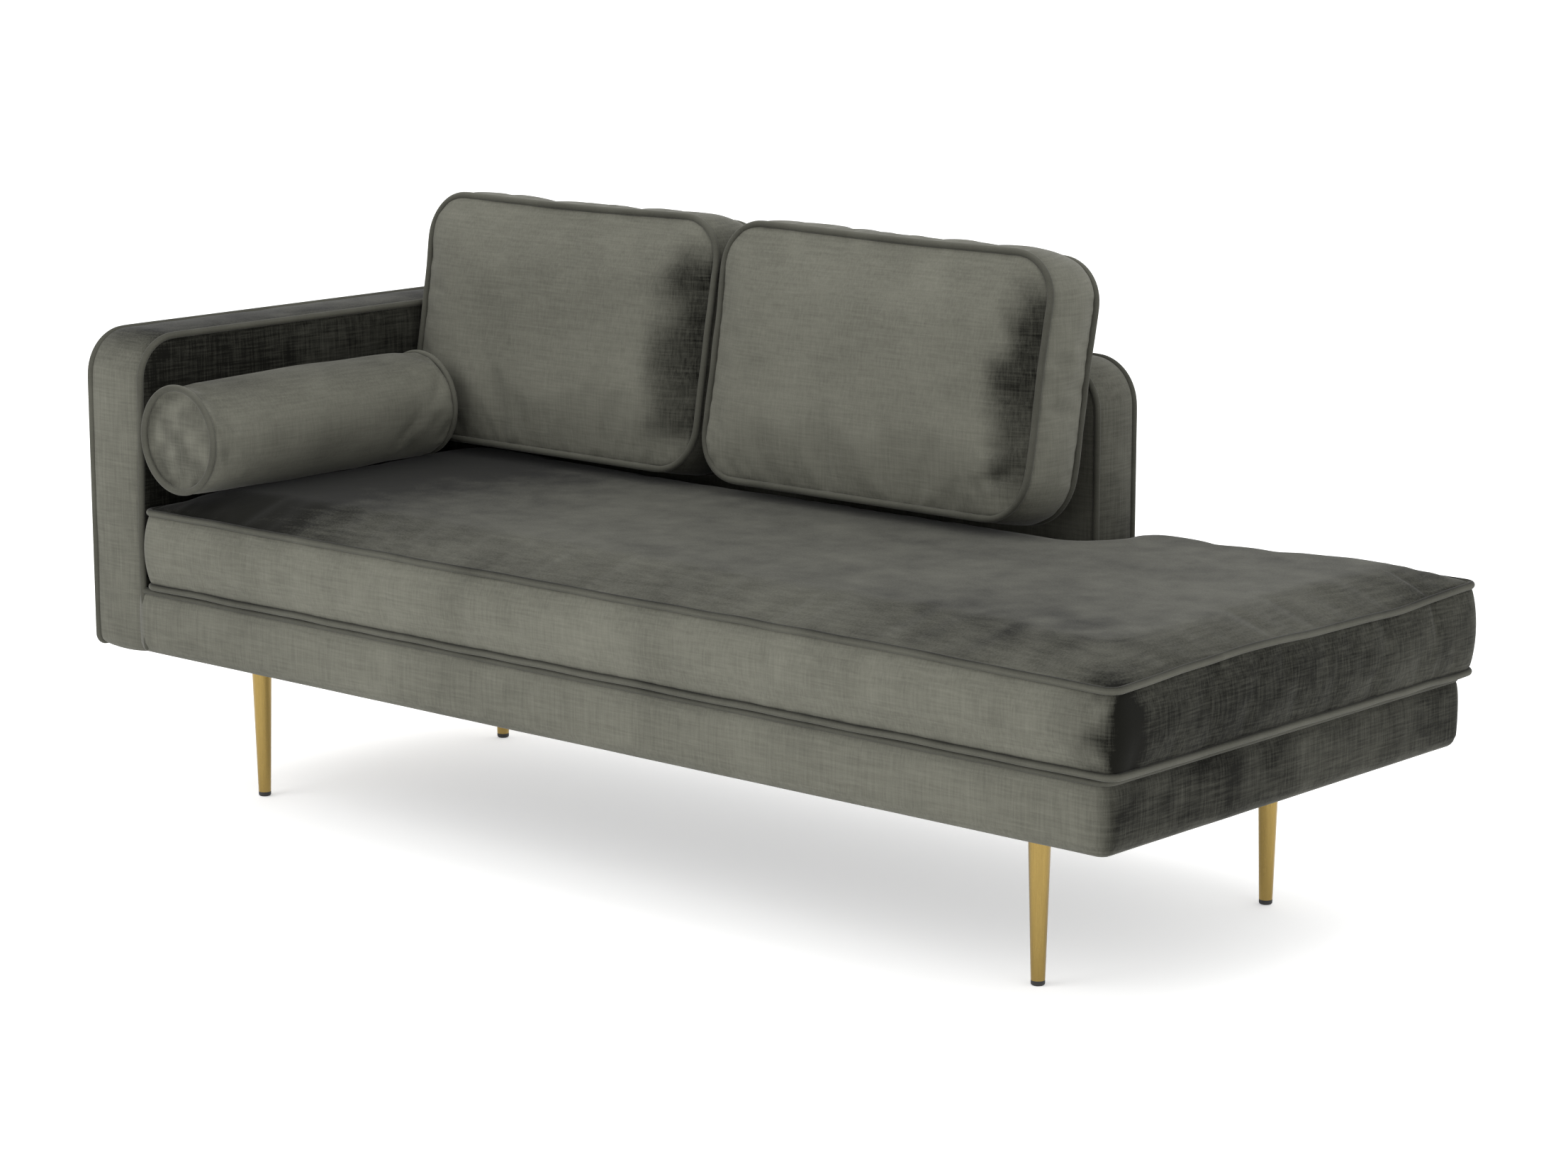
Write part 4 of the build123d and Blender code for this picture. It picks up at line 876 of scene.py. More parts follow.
# ------------------------------------------------------------------ fixed upholstery
def shell_panel(low, high, radii, cell):
    """Panel whose seam lies one seam inset inside the outline from low to high."""
    low, high = np.array(low) + SEAM_INSET, np.array(high) - SEAM_INSET
    return flat_panel(low, high, [max(radius - SEAM_INSET, 0.002) for radius in radii], cell)


def belly(pillow, height):
    """Gentle outward curve of the band between its seams, and its dive into each seam."""
    low, high = pillow.band_depths()
    dive = np.exp(-low / 0.004) + np.exp(-high / 0.004)
    lip = SEAM_INSET - 0.0015
    return lip - lip * dive + height * np.sin(np.pi * pillow.shares)[:, None]


ARM_BOW = 0.0055


def arm_bow(points):
    """Leans the arm's inner front edge outwards where the seat cushion presses on it."""
    moved = points.copy()
    near_front = 1 - ease(points[:, 1], ARM_LOW[1] + 0.03, ARM_LOW[1] + 0.16)
    height = hump(points[:, 2], (BASE_HIGH[2] + SEAT_TOP) / 2 - 0.02, 0.12)
    inner = ease(points[:, 0], ARM_LOW[0], ARM_HIGH[0])
    moved[:, 0] -= ARM_BOW * near_front * height * inner
    return moved


class DAYBED_OT_arm(bpy.types.Operator):
    """Arm: padded side panels joined by a band over the front, top and rear, with welts"""

    bl_idname = "daybed.arm"
    bl_label = "Arm"

    def execute(self, context):
        sizes = context.scene.daybed_sizes
        corner = SHELL_CORNER
        soft = 0.015
        panel = shell_panel(ARM_LOW[1:], ARM_HIGH[1:], (soft, soft, soft, corner), sizes.cell)
        low, high = ARM_LOW[0] + SEAM_INSET, ARM_HIGH[0] - SEAM_INSET
        form = boxed(panel, low, high, sizes.cell, FACING_FOOT)
        form.front += crown(form.distance, 0.0035, 0.0045, 0.06)
        form.rear -= crown(form.distance, 0.0035, 0.0065, 0.09)
        form.rear += puckers(form.distance, form.panel_places, form.length, 11, 0.0010, 0.02)
        form.out += belly(form, 0.003)
        wave = waves(form.places, form.length, 12, longest=0.3, shortest=0.06)
        form.out += 0.0006 * wave[None, :]
        piece, _ = form.build("arm_upholstery")
        write_points(piece.data, arm_bow(read_points(piece.data)))
        # Painted shading by facing: the inner face, turned from the light between the seat and the back,
        # is painted almost black, and the top dark.
        paint_facing_shade(piece, foot=0.07, arm=0.55, rear=0.6, front=0.72, top=0.10, under=0.5)
        smooth_once(piece)
        covers = ("arm_cover_band", "arm_cover_inner", "arm_cover_outer", "arm_padding")
        finish_soft(context, piece, "frame", covers)

        inset = SHELL_CORD_INSET
        front, rear = ARM_LOW[1] + inset, ARM_HIGH[1] - inset
        bottom, top = ARM_LOW[2] + inset, ARM_HIGH[2] - inset
        around = [(front, bottom), (rear, bottom), (rear, top), (front, top)]
        radii = [soft - inset, soft - inset, soft - inset, corner - inset]
        outer = in_plane(rounded_path(around, radii, 0.02, True), ARM_LOW[0] + inset, FACING_FOOT)
        inner_points = [(front, bottom), (front, top), (BACK_LOW[1] + 0.01, top)]
        inner = rounded_path(inner_points, [0, corner - inset, 0], 0.02, False)
        cords = [
            (outer, True, (1, 0, 0)),
            (in_plane(inner, ARM_HIGH[0] - inset, FACING_FOOT), False, (1, 0, 0)),
        ]
        welt(
            context, "arm_welt", "frame", "arm_piping", cords, arm_bow,
            foot=0.30, arm=0.5, rear=0.4, front=0.26, top=0.50, under=0.3,
        )
        return {"FINISHED"}


class DAYBED_OT_back(bpy.types.Operator):
    """Back: padded panels joined by a band over the top and the free end, with welts"""

    bl_idname = "daybed.back"
    bl_label = "Back"

    def execute(self, context):
        sizes = context.scene.daybed_sizes
        corner = SHELL_CORNER
        low = (BACK_LOW[0], BACK_LOW[2])
        high = (BACK_HIGH[0], BACK_HIGH[2])
        panel = flat_panel(
            (low[0], low[1] + 0.0005),
            (high[0] - SEAM_INSET, high[1] - SEAM_INSET),
            (0.002, 0.002, corner - SEAM_INSET, 0.002),
            sizes.cell,
        )
        rear_w, front_w = -BACK_HIGH[1] + SEAM_INSET, -BACK_LOW[1] - SEAM_INSET
        form = boxed(panel, rear_w, front_w, sizes.cell, FACING_FRONT)
        form.front += crown(form.distance, 0.0035, 0.0045, 0.08)
        form.rear -= crown(form.distance, 0.0035, 0.0065, 0.10)
        form.rear += puckers(form.distance, form.panel_places, form.length, 21, 0.0010, 0.02)
        rounded = (form.normals[:, 0] > 0.05) | (form.normals[:, 1] > 0.05)
        form.out += np.where(rounded[None, :], belly(form, 0.003), 0.0)
        form.out[:, (form.normals[:, 0] < -0.9)] = 0.0
        piece, _ = form.build("back_upholstery")
        points = read_points(piece.data)
        face = points[:, [1, 2]]
        front_y = BACK_LOW[1]
        pinch = crease(face, (front_y + 0.006, 0.355), (front_y + 0.05, 0.372), 0.006)
        pinch += 0.7 * crease(face, (front_y + 0.010, 0.333), (front_y + 0.06, 0.340), 0.005)
        on_end = ease(points[:, 0], BACK_HIGH[0] - 0.01, BACK_HIGH[0] - 0.004)
        points[:, 0] -= 0.004 * pinch * on_end
        write_points(piece.data, points)
        # Painted shading by facing, then painted shade on the free end, full below 0.30 m and gone above
        # 0.52 m.
        values = paint_facing_shade(piece, foot=0.55, arm=0.5, rear=0.6, front=0.6, top=0.66, under=0.4)
        end = ease(points[:, 0], BACK_HIGH[0] - 0.02, BACK_HIGH[0] - 0.004)
        store_value(piece.data, "painted_shading_and_mottle", values - 0.30 * end * (1 - ease(points[:, 2], 0.30, 0.52)))
        smooth_once(piece)
        covers = ("back_cover_band", "back_cover_front", "back_cover_rear", "back_padding")
        finish_soft(context, piece, "frame", covers)

        inset = SHELL_CORD_INSET
        end, top = high[0] - inset, high[1] - inset
        seam = [(low[0], top), (end, top), (end, low[1])]
        path = rounded_path(seam, [0, corner - inset, 0], 0.02, False)
        levels = (-BACK_LOW[1] - inset, -BACK_HIGH[1] + inset)
        cords = [(in_plane(path, level, FACING_FRONT), False, (0, 1, 0)) for level in levels]
        welt(
            context, "back_welt", "frame", "back_piping", cords,
            foot=0.34, arm=0.4, rear=0.35, front=0.34, top=0.5, under=0.3,
        )
        return {"FINISHED"}


BASE_RUNS = (130, 52, 130)


def base_ring(inset, radius, height):
    """Open path round the base's three free sides at one inset and height."""
    start = ARM_HIGH[0] - 0.013
    right = BASE_HIGH[0] - inset
    front, rear = BASE_LOW[1] + inset, BASE_HIGH[1] - inset
    points = [(start, front), (right, front), (right, rear), (start, rear)]
    bend = max(radius - inset, 0.0015)
    path = rounded_path(points, [0, bend, bend, 0], 1, False, runs=BASE_RUNS, arc_steps=8)
    return np.column_stack([path, np.full(len(path), height)])


class DAYBED_OT_base(bpy.types.Operator):
    """Base: a padded skirt round the three free sides, turned in underneath, and its welt"""

    bl_idname = "daybed.base"
    bl_label = "Base"

    def execute(self, context):
        bottom, top = BASE_LOW[2], BASE_HIGH[2]
        radius = 0.020
        soft = 0.015
        thick = 0.0025
        near_seam = [top - 0.0055, top - 0.0075]
        heights = np.concatenate([near_seam, np.linspace(top - 0.011, bottom + soft, 9)])
        drop = (top - heights) / (top - bottom)
        side = 0.0012 + (SEAM_INSET - 0.0012) * np.exp(-(top - 0.0055 - heights) / 0.004)
        side -= 0.0025 * np.sin(np.pi * np.clip(drop, 0, 1))
        turn = np.linspace(0, np.pi / 2, 7)[1:]
        bend = soft - 0.0012
        inwards = 0.0012 + bend * (1 - np.cos(turn))
        upwards = bottom + 0.001 + bend * (1 - np.sin(turn))
        under = np.column_stack([inwards, upwards])
        hem = [(0.026, bottom + 0.001), (0.0355, bottom + 0.0012), (0.036, bottom + 0.0022)]
        outside = np.concatenate([np.column_stack([side, heights]), under, hem])
        inside = outside[::-1].copy()
        inside[:, 0] += np.where(inside[:, 1] > bottom + 0.004, thick, 0.0)
        inside[:, 1] += np.where(inside[:, 1] <= bottom + 0.004, thick, 0.0)
        profile = np.concatenate([outside, inside])
        rings = np.stack([base_ring(inset, radius, height) for inset, height in profile])
        rows, steps = rings.shape[:2]
        flat = rings.reshape(-1, 3)
        ripple = cloud(flat * (1, 1, 0.35), 0.09, 31)
        sides = hump(flat[:, 2], (bottom + top) / 2, 0.04)
        on_end = flat[:, 0] > BASE_HIGH[0] - radius
        sideways = np.where(on_end, 0.0, np.sign(flat[:, 1]))
        outward = np.column_stack([on_end.astype(float), sideways, np.zeros(len(flat))])
        flat = flat + outward * (0.0007 * ripple * sides)[:, None]
        index = np.arange(rows * steps).reshape(rows, steps)
        after = np.roll(index, -1, axis=0)
        faces = np.stack([index[:, :-1], after[:, :-1], after[:, 1:], index[:, 1:]], axis=-1)
        ends = [index[::-1, 0].tolist(), index[:, -1].tolist()]
        face_list = faces.reshape(-1, 4).tolist() + ends
        piece = new_piece("base_upholstery", flat, face_list)
        # Painted shading by facing: the end, turned from the light, is painted dark.
        values = paint_facing_shade(piece, foot=0.17, arm=0.5, rear=0.6, front=0.75, top=0.3, under=0.5)
        points = read_points(piece.data)
        # Painted shade at the front corner of the end, where it turns from the light, broken up by a
        # cloud; the end is also lighter in random specks low down towards the rear.
        corner = hump(points[:, 0], BASE_HIGH[0] - 0.01, 0.022) * (points[:, 1] < 0)
        painted_shade_marks = 0.06 * corner * (1 + cloud(points, 0.05, 33))
        low_edge = 0.12 * (points[:, 0] > BASE_HIGH[0] - 0.03) * ease(points[:, 1], 0.0, 0.3)
        low_edge *= 1 - ease(points[:, 2], bottom, bottom + 0.04)
        low_edge *= np.clip(cloud(points, 0.03, 34), 0, 1)
        store_value(piece.data, "painted_shading_and_mottle", values - painted_shade_marks + low_edge)
        finish_soft(context, piece, "frame", ("base_cover", "base_padding"))

        path = base_ring(SHELL_CORD_INSET, radius, top - SHELL_CORD_INSET)
        # Painted shadow: the welt's front, under the seat cushion, is painted dark, like its underside.
        welt(
            context, "base_welt", "frame", "base_piping", [(path, False, (0, 0, 1))],
            foot=0.62, arm=0.4, rear=0.4, front=0.10, top=0.26, under=0.10,
        )
        return {"FINISHED"}


class DAYBED_OT_linings(bpy.types.Operator):
    """Black cloths: the deck over the springs, and the dust cover under the frame"""

    bl_idname = "daybed.linings"
    bl_label = "Deck and dust cover"

    def execute(self, context):
        low, high = corners("deck_cloth", "deck_felt")
        thick = 0.0016
        panel = flat_panel(low[:2], high[:2], (0.002, 0.012, 0.012, 0.002), 0.022)
        form = Pillow(panel, high[2] - thick, high[2], (0.5,), FACING_UP)
        sag = 0.0012 * cloud(form.points, 0.12, 41) * (1 - np.exp(-form.distance / 0.05))
        stitch = 0.0012 * (hump(form.distance, 0.030, 0.0022) + hump(form.distance, 0.036, 0.0022))
        dip = 0.0018 * (1 - np.exp(-form.distance / 0.06)) - sag + stitch
        form.front -= np.clip(dip, 0.0, 0.004)
        form.rear -= np.clip(dip, 0.0, 0.004)
        deck, _ = form.build("deck")
        dress(context, deck, "black_lining", "frame")
        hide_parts("deck_cloth", "deck_felt")

        low, high = corners("dust_cover")
        panel = flat_panel(low[:2], high[:2], (0.002, 0.002, 0.002, 0.002), 0.022)
        form = Pillow(panel, low[2], low[2] + 0.0008, (0.5,), FACING_UP)
        dust, _ = form.build("dust_cover_cloth")
        dress(context, dust, "black_lining", "frame")
        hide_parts("dust_cover")
        return {"FINISHED"}


# ------------------------------------------------------------------ loose cushions
def seat_lie(points):
    """How the seat cushion lies: the foot end waves a little, the front left end spreads."""
    moved = points.copy()
    x, y, z = points.T
    upper = ease(z, SEAT_LOW[2] + 0.01, SEAT_HIGH[2])
    to_end = ease(x, SEAT_HIGH[0] - 0.35, SEAT_HIGH[0])
    front_corner = to_end * (1 - ease(y, SEAT_LOW[1], SEAT_LOW[1] + 0.14))
    moved[:, 2] -= 0.004 * upper * front_corner
    rear_corner = to_end * ease(y, SEAT_HIGH[1] - 0.16, SEAT_HIGH[1])
    moved[:, 2] += 0.006 * upper * rear_corner
    rise = ease(x, SEAT_HIGH[0] - 0.2, SEAT_HIGH[0]) * hump(y, SEAT_LOW[1] + 0.25, 0.12)
    moved[:, 2] += 0.004 * upper * rise
    spread = 1 - ease(x, SEAT_LOW[0], SEAT_LOW[0] + 0.05)
    spread *= 1 - ease(y, SEAT_LOW[1] + 0.02, SEAT_LOW[1] + 0.15)
    height = np.clip((z - SEAT_LOW[2]) / (SEAT_HIGH[2] - SEAT_LOW[2]), 0, 1)
    moved[:, 0] -= 0.002 * (1 + np.sin(np.pi * height)) * spread
    return moved


class DAYBED_OT_seat_cushion(bpy.types.Operator):
    """Seat cushion: an L-shaped boxed form with a crowned top, and its welts"""

    bl_idname = "daybed.seat_cushion"
    bl_label = "Seat cushion"

    def execute(self, context):
        sizes = context.scene.daybed_sizes
        corner = 0.018
        inner = 0.006
        notch = (NOTCH_X + SEAM_INSET, NOTCH_Y - SEAM_INSET)
        bend = corner - SEAM_INSET
        panel = flat_panel(
            SEAT_LOW[:2] + SEAM_INSET,
            SEAT_HIGH[:2] - SEAM_INSET,
            [bend] * 5,
            sizes.seat_cell,
            notch,
        )
        low, high = SEAT_LOW[2] + SEAM_INSET, SEAT_HIGH[2] - SEAM_INSET
        form = boxed(panel, low, high, sizes.seat_cell, FACING_UP)
        form.front += crown(form.distance, 0.0045, sizes.seat_crown, 0.10)
        form.rear -= np.clip(crown(form.distance, 0.0040, 0.0045, 0.05), 0, SEAM_INSET)
        x, y = form.points.T
        form.front -= puckers(form.distance, form.panel_places, form.length, 51, 0.0030, 0.024)
        corner_point = SEAT_HIGH[:2] - 0.02
        arm_x, arm_y = corner_point[0] - x, corner_point[1] - y
        reach = np.hypot(arm_x, arm_y)
        angle = np.arctan2(arm_y, arm_x)
        fan = np.sin(angle * 46 + 2.2 * np.sin(angle * 9))
        form.front += 0.0013 * fan * hump(reach, 0.13, 0.085) * ease(reach, 0.01, 0.06)
        for depth, start, finish, wide in (
            (0.0030, (0.30, 0.10), (0.10, 0.030), 0.014),
            (0.0022, (0.36, 0.20), (0.16, 0.075), 0.016),
        ):
            groove = crease(form.points, corner_point - start, corner_point - finish, wide)
            form.front -= depth * groove
        lower, upper = form.band_depths()
        form.out += belly(form, 0.005)
        form.out -= puckers(lower, form.places, form.length, 52, 0.0034, 0.018)
        form.out -= puckers(upper, form.places, form.length, 53, 0.0024, 0.014)
        piece, seams = form.build("seat_cushion_cover")
        write_points(piece.data, seat_lie(read_points(piece.data)))
        swell(piece, seams, sizes, slack=0.006, limit=sizes.swell_limit * 0.6)
        points = read_points(piece.data)
        under = points[:, 2] < SEAT_LOW[2] + 0.02
        points[under, 2] = np.maximum(points[under, 2], SEAT_LOW[2] + 0.0004)
        points[:, 2] = np.minimum(points[:, 2], SEAT_TOP + 0.0015)
        write_points(piece.data, points)
        # Painted shading by facing: the foot end, turned from the light, is painted dark.
        values = paint_facing_shade(piece, foot=0.08, arm=0.4, rear=0.6, front=0.80, top=0.38, under=0.4)
        x, y, z = points.T
        # Painted shade at the front corner of the foot end, where it turns from the light, broken up by
        # a cloud.
        near_corner = np.hypot((x - SEAT_HIGH[0]) / 0.055, (y - SEAT_LOW[1]) / 0.04)
        painted_shade_marks = 0.50 * np.exp(-near_corner**2) * (1.0 + 0.4 * cloud(points, 0.03, 54))
        # Darker, mottled patch on the top near the front of the foot end.
        patch = hump(x, SEAT_HIGH[0] - 0.20, 0.16) * hump(y, SEAT_LOW[1] + 0.10, 0.07)
        painted_shade_marks += 0.22 * patch * (z > SEAT_HIGH[2] - 0.004) * (1 + 0.6 * cloud(points, 0.06, 55))
        # Painted shade on the top beside the arm.
        arm_side = (1 - ease(x, SEAT_LOW[0] + 0.1, SEAT_LOW[0] + 0.55)) * (z > SEAT_HIGH[2] - 0.004)
        painted_shade_marks += 0.50 * arm_side
        # Darker on the top towards the rear of the foot end; the foot end itself lighter towards the
        # rear.
        far_end = ease(x, SEAT_HIGH[0] - 0.45, SEAT_HIGH[0] - 0.1) * ease(y, 0.0, SEAT_HIGH[1])
        painted_shade_marks += 0.07 * far_end * (z > SEAT_HIGH[2] - 0.004)
        end_rear = ease(y, 0.0, SEAT_HIGH[1]) * ease(x, SEAT_HIGH[0] - 0.012, SEAT_HIGH[0] - 0.004)
        painted_shade_marks -= 0.16 * end_rear * (z < SEAT_HIGH[2])
        store_value(piece.data, "painted_shading_and_mottle", values - painted_shade_marks)
        smooth_once(piece)
        finish_soft(context, piece, "seat_cushion", ("seat_cover", "seat_foam"))

        inset = CUSHION_CORD_INSET
        left, right = SEAT_LOW[0] + inset, SEAT_HIGH[0] - inset
        front, rear = SEAT_LOW[1] + inset, SEAT_HIGH[1] - inset
        cut_x, cut_y = NOTCH_X + inset, NOTCH_Y - inset
        outline = [(left, front), (right, front), (right, rear)]
        outline += [(cut_x, rear), (cut_x, cut_y), (left, cut_y)]
        radii = [corner - inset] * 4 + [inner + inset, corner - inset]
        path = rounded_path(outline, radii, 0.014, True)
        levels = ((SEAT_LOW[2] + inset, 56), (SEAT_HIGH[2] - inset, 57))
        cords = wavy_cords(path, levels, FACING_UP, 2, 0.0006, longest=0.5, shortest=0.08)
        # Painted shading by facing: the front welts are painted dark and the foot-end welts light.
        welt(
            context, "seat_cushion_welt", "seat_cushion", "seat_piping", cords, seat_lie,
            foot=0.92, arm=0.5, rear=0.5, front=0.12, top=0.32, under=0.05,
        )
        return {"FINISHED"}


class DAYBED_OT_back_cushions(bpy.types.Operator):
    """Two boxed cushions leaning on the back, each with a crowned front and two welts"""

    bl_idname = "daybed.back_cushions"
    bl_label = "Back cushions"

    def execute(self, context):
        self.make(context, "back_cushion_left", 61)
        self.make(context, "back_cushion_right", 71)
        return {"FINISHED"}

    @staticmethod
    def upright_box(name):
        """Box of a cushion before it is tipped, about the middle of the tipped one.

        Depth d and height h along its centre lines tip to d cos + h sin deep and
        d sin + h cos high, which are the two equations solved here.
        """
        low, high = corners(f"{name}_piping")
        cord = 2 * CUSHION_CORD_INSET
        deep, tall = high[1] - low[1] - cord, high[2] - low[2] - cord
        cosine, sine = math.cos(CUSHION_LEAN), math.sin(CUSHION_LEAN)
        depth = (deep * cosine - tall * sine) / math.cos(2 * CUSHION_LEAN) + cord
        height = (tall * cosine - deep * sine) / math.cos(2 * CUSHION_LEAN) + cord
        middle = (low + high) / 2
        half = np.array([high[0] - low[0], depth, height]) / 2
        return middle - half, middle + half

    @staticmethod
    def tip(points, middle):
        """Points turned about the cushion's middle so that its top goes back."""
        tipped = points.copy()
        y, z = points[:, 1] - middle[1], points[:, 2] - middle[2]
        cosine, sine = math.cos(CUSHION_LEAN), math.sin(CUSHION_LEAN)
        tipped[:, 1] = middle[1] + y * cosine + z * sine
        tipped[:, 2] = middle[2] + z * cosine - y * sine
        return tipped

    @staticmethod
    def lie(box_low, box_high, right):
        """Function that settles a cushion: its sides drawn in and its top sagging a little."""
        width, height = box_high[0] - box_low[0], box_high[2] - box_low[2]

        def settle(points):
            moved = points.copy()
            u = (points[:, 0] - box_low[0]) / width
            v = (points[:, 2] - box_low[2]) / height
            top = ease(v, 0.6, 1.0)
            moved[:, 2] -= 0.003 * hump(u, 0.5, 0.30) * top
            moved[:, 2] -= (0.004 if right else 0.0) * top * ease(u, 0.2, 1.0)
            side = 2 * u - 1
            moved[:, 0] -= 0.004 * side * np.sin(np.pi * np.clip(v, 0, 1))
            low = 1 - ease(v, 0.0, 0.35)
            moved[:, 0] -= 0.004 * low * ease(u, 0.6, 1.0)
            return moved

        return settle

    def make(self, context, name, seed):
        """One cushion with its welts."""
        sizes = context.scene.daybed_sizes
        right = name.endswith("right")
        box_low, box_high = self.upright_box(name)
        middle = (box_low + box_high) / 2
        corner = CUSHION_CORNER
        panel = flat_panel(
            (box_low[0] + SEAM_INSET, box_low[2] + SEAM_INSET),
            (box_high[0] - SEAM_INSET, box_high[2] - SEAM_INSET),
            [corner - SEAM_INSET] * 4,
            sizes.cushion_cell,
        )
        rear_w, front_w = -box_high[1] + SEAM_INSET, -box_low[1] - SEAM_INSET
        form = boxed(panel, rear_w, front_w, sizes.cushion_cell, FACING_FRONT)
        form.front += crown(form.distance, 0.0045, sizes.cushion_crown, 0.11)
        form.rear -= np.clip(crown(form.distance, 0.0040, 0.0045, 0.06), 0, SEAM_INSET)
        gather = puckers(
            form.distance, form.panel_places, form.length, seed, 0.0034, 0.024, shortest=0.014
        )
        height = (form.points[:, 1] - box_low[2]) / (box_high[2] - box_low[2])
        form.front -= gather * (0.35 + 1.2 * (1 - ease(height, 0.0, 0.35)))
        if right:
            corner_u, corner_v = box_high[0], box_low[2]
            for du, dv, length_u, length_v, depth, wide in (
                (0.022, 0.060, 0.045, -0.012, 0.0065, 0.0065),
                (0.020, 0.085, 0.055, 0.004, 0.0040, 0.0060),
                (0.060, 0.022, 0.030, 0.040, 0.0040, 0.0060),
                (0.018, 0.150, 0.050, 0.006, 0.0020, 0.0060),
                (0.018, 0.215, 0.040, 0.004, 0.0016, 0.0060),
            ):
                start = (corner_u - du, corner_v + dv)
                finish = (corner_u - du - length_u, corner_v + dv + length_v)
                form.front -= depth * crease(form.points, start, finish, wide)
        lower, upper = form.band_depths()
        form.out += belly(form, 0.004)
        form.out -= puckers(lower, form.places, form.length, seed + 1, 0.0030, 0.022)
        form.out -= puckers(upper, form.places, form.length, seed + 2, 0.0026, 0.018)
        wave = waves(form.places, form.length, seed + 3, longest=0.4, shortest=0.07)
        form.out += 0.0012 * wave[None, :] * np.sin(np.pi * form.shares)[:, None]
        piece, seams = form.build(f"{name}_shell")
        settle = self.lie(box_low, box_high, right)
        write_points(piece.data, settle(read_points(piece.data)))
        swell(piece, seams, sizes, slack=0.012, limit=sizes.swell_limit)
        points = read_points(piece.data)
        floor = box_low[2] - 0.0005
        points[:, 2] = np.maximum(points[:, 2], floor)
        points[:, 1] = np.minimum(points[:, 1], box_high[1] + 0.0002)
        write_points(piece.data, points)
        # Painted shading by facing; the left cushion's foot-end side, facing the right cushion, is
        # painted darker.
        foot = 0.86 if right else 0.4
        values = paint_facing_shade(piece, foot, arm=0.45, rear=0.6, front=0.80, top=0.72, under=0.3)
        u = (points[:, 0] - box_low[0]) / (box_high[0] - box_low[0])
        v = (points[:, 2] - box_low[2]) / (box_high[2] - box_low[2])
        # Painted shade in a band along the far side of each front, where it rolls away from the light,
        # its edge ragged by a cloud; painted shade along the foot of the front where it sits on the
        # seat, and a lighter strip a little above it.
        on_front = ease(-points[:, 1], -box_low[1] - 0.012, -box_low[1] - 0.002)
        ragged = 0.022 * cloud(points * (1, 1, 0.8), 0.06, seed + 4)
        edge = ease(u + ragged, 0.85, 0.95) if right else ease(u + ragged, 0.77, 0.93)
        tall = ease(v, 0.06, 0.20) * (1 - ease(v, 0.74, 0.95))
        painted_shade_marks = 0.66 * edge * tall * on_front
        painted_shade_marks += 0.05 * on_front * (1 - ease(v, 0.0, 0.08))
        painted_shade_marks -= 0.12 * on_front * hump(v, 0.25, 0.2)
        store_value(piece.data, "painted_shading_and_mottle", values - painted_shade_marks)
        write_points(piece.data, self.tip(points, middle))
        smooth_once(piece)
        finish_soft(context, piece, name, (f"{name}_cover", f"{name}_fill"))

        inset = CUSHION_CORD_INSET
        left, far = box_low[0] + inset, box_high[0] - inset
        bottom, top = box_low[2] + inset, box_high[2] - inset
        outline = [(left, bottom), (far, bottom), (far, top), (left, top)]
        path = rounded_path(outline, [corner - inset] * 4, 0.014, True)
        levels = ((-box_low[1] - inset, seed + 5), (-box_high[1] + inset, seed + 6))
        cords = wavy_cords(path, levels, FACING_FRONT, 1, 0.0008, longest=0.4, shortest=0.06)
        welt(
            context, f"{name}_welt", name, f"{name}_piping", cords,
            lambda path: self.tip(settle(path), middle),
            foot=0.42, arm=0.4, rear=0.4, front=0.34, top=0.36, under=0.6,
        )


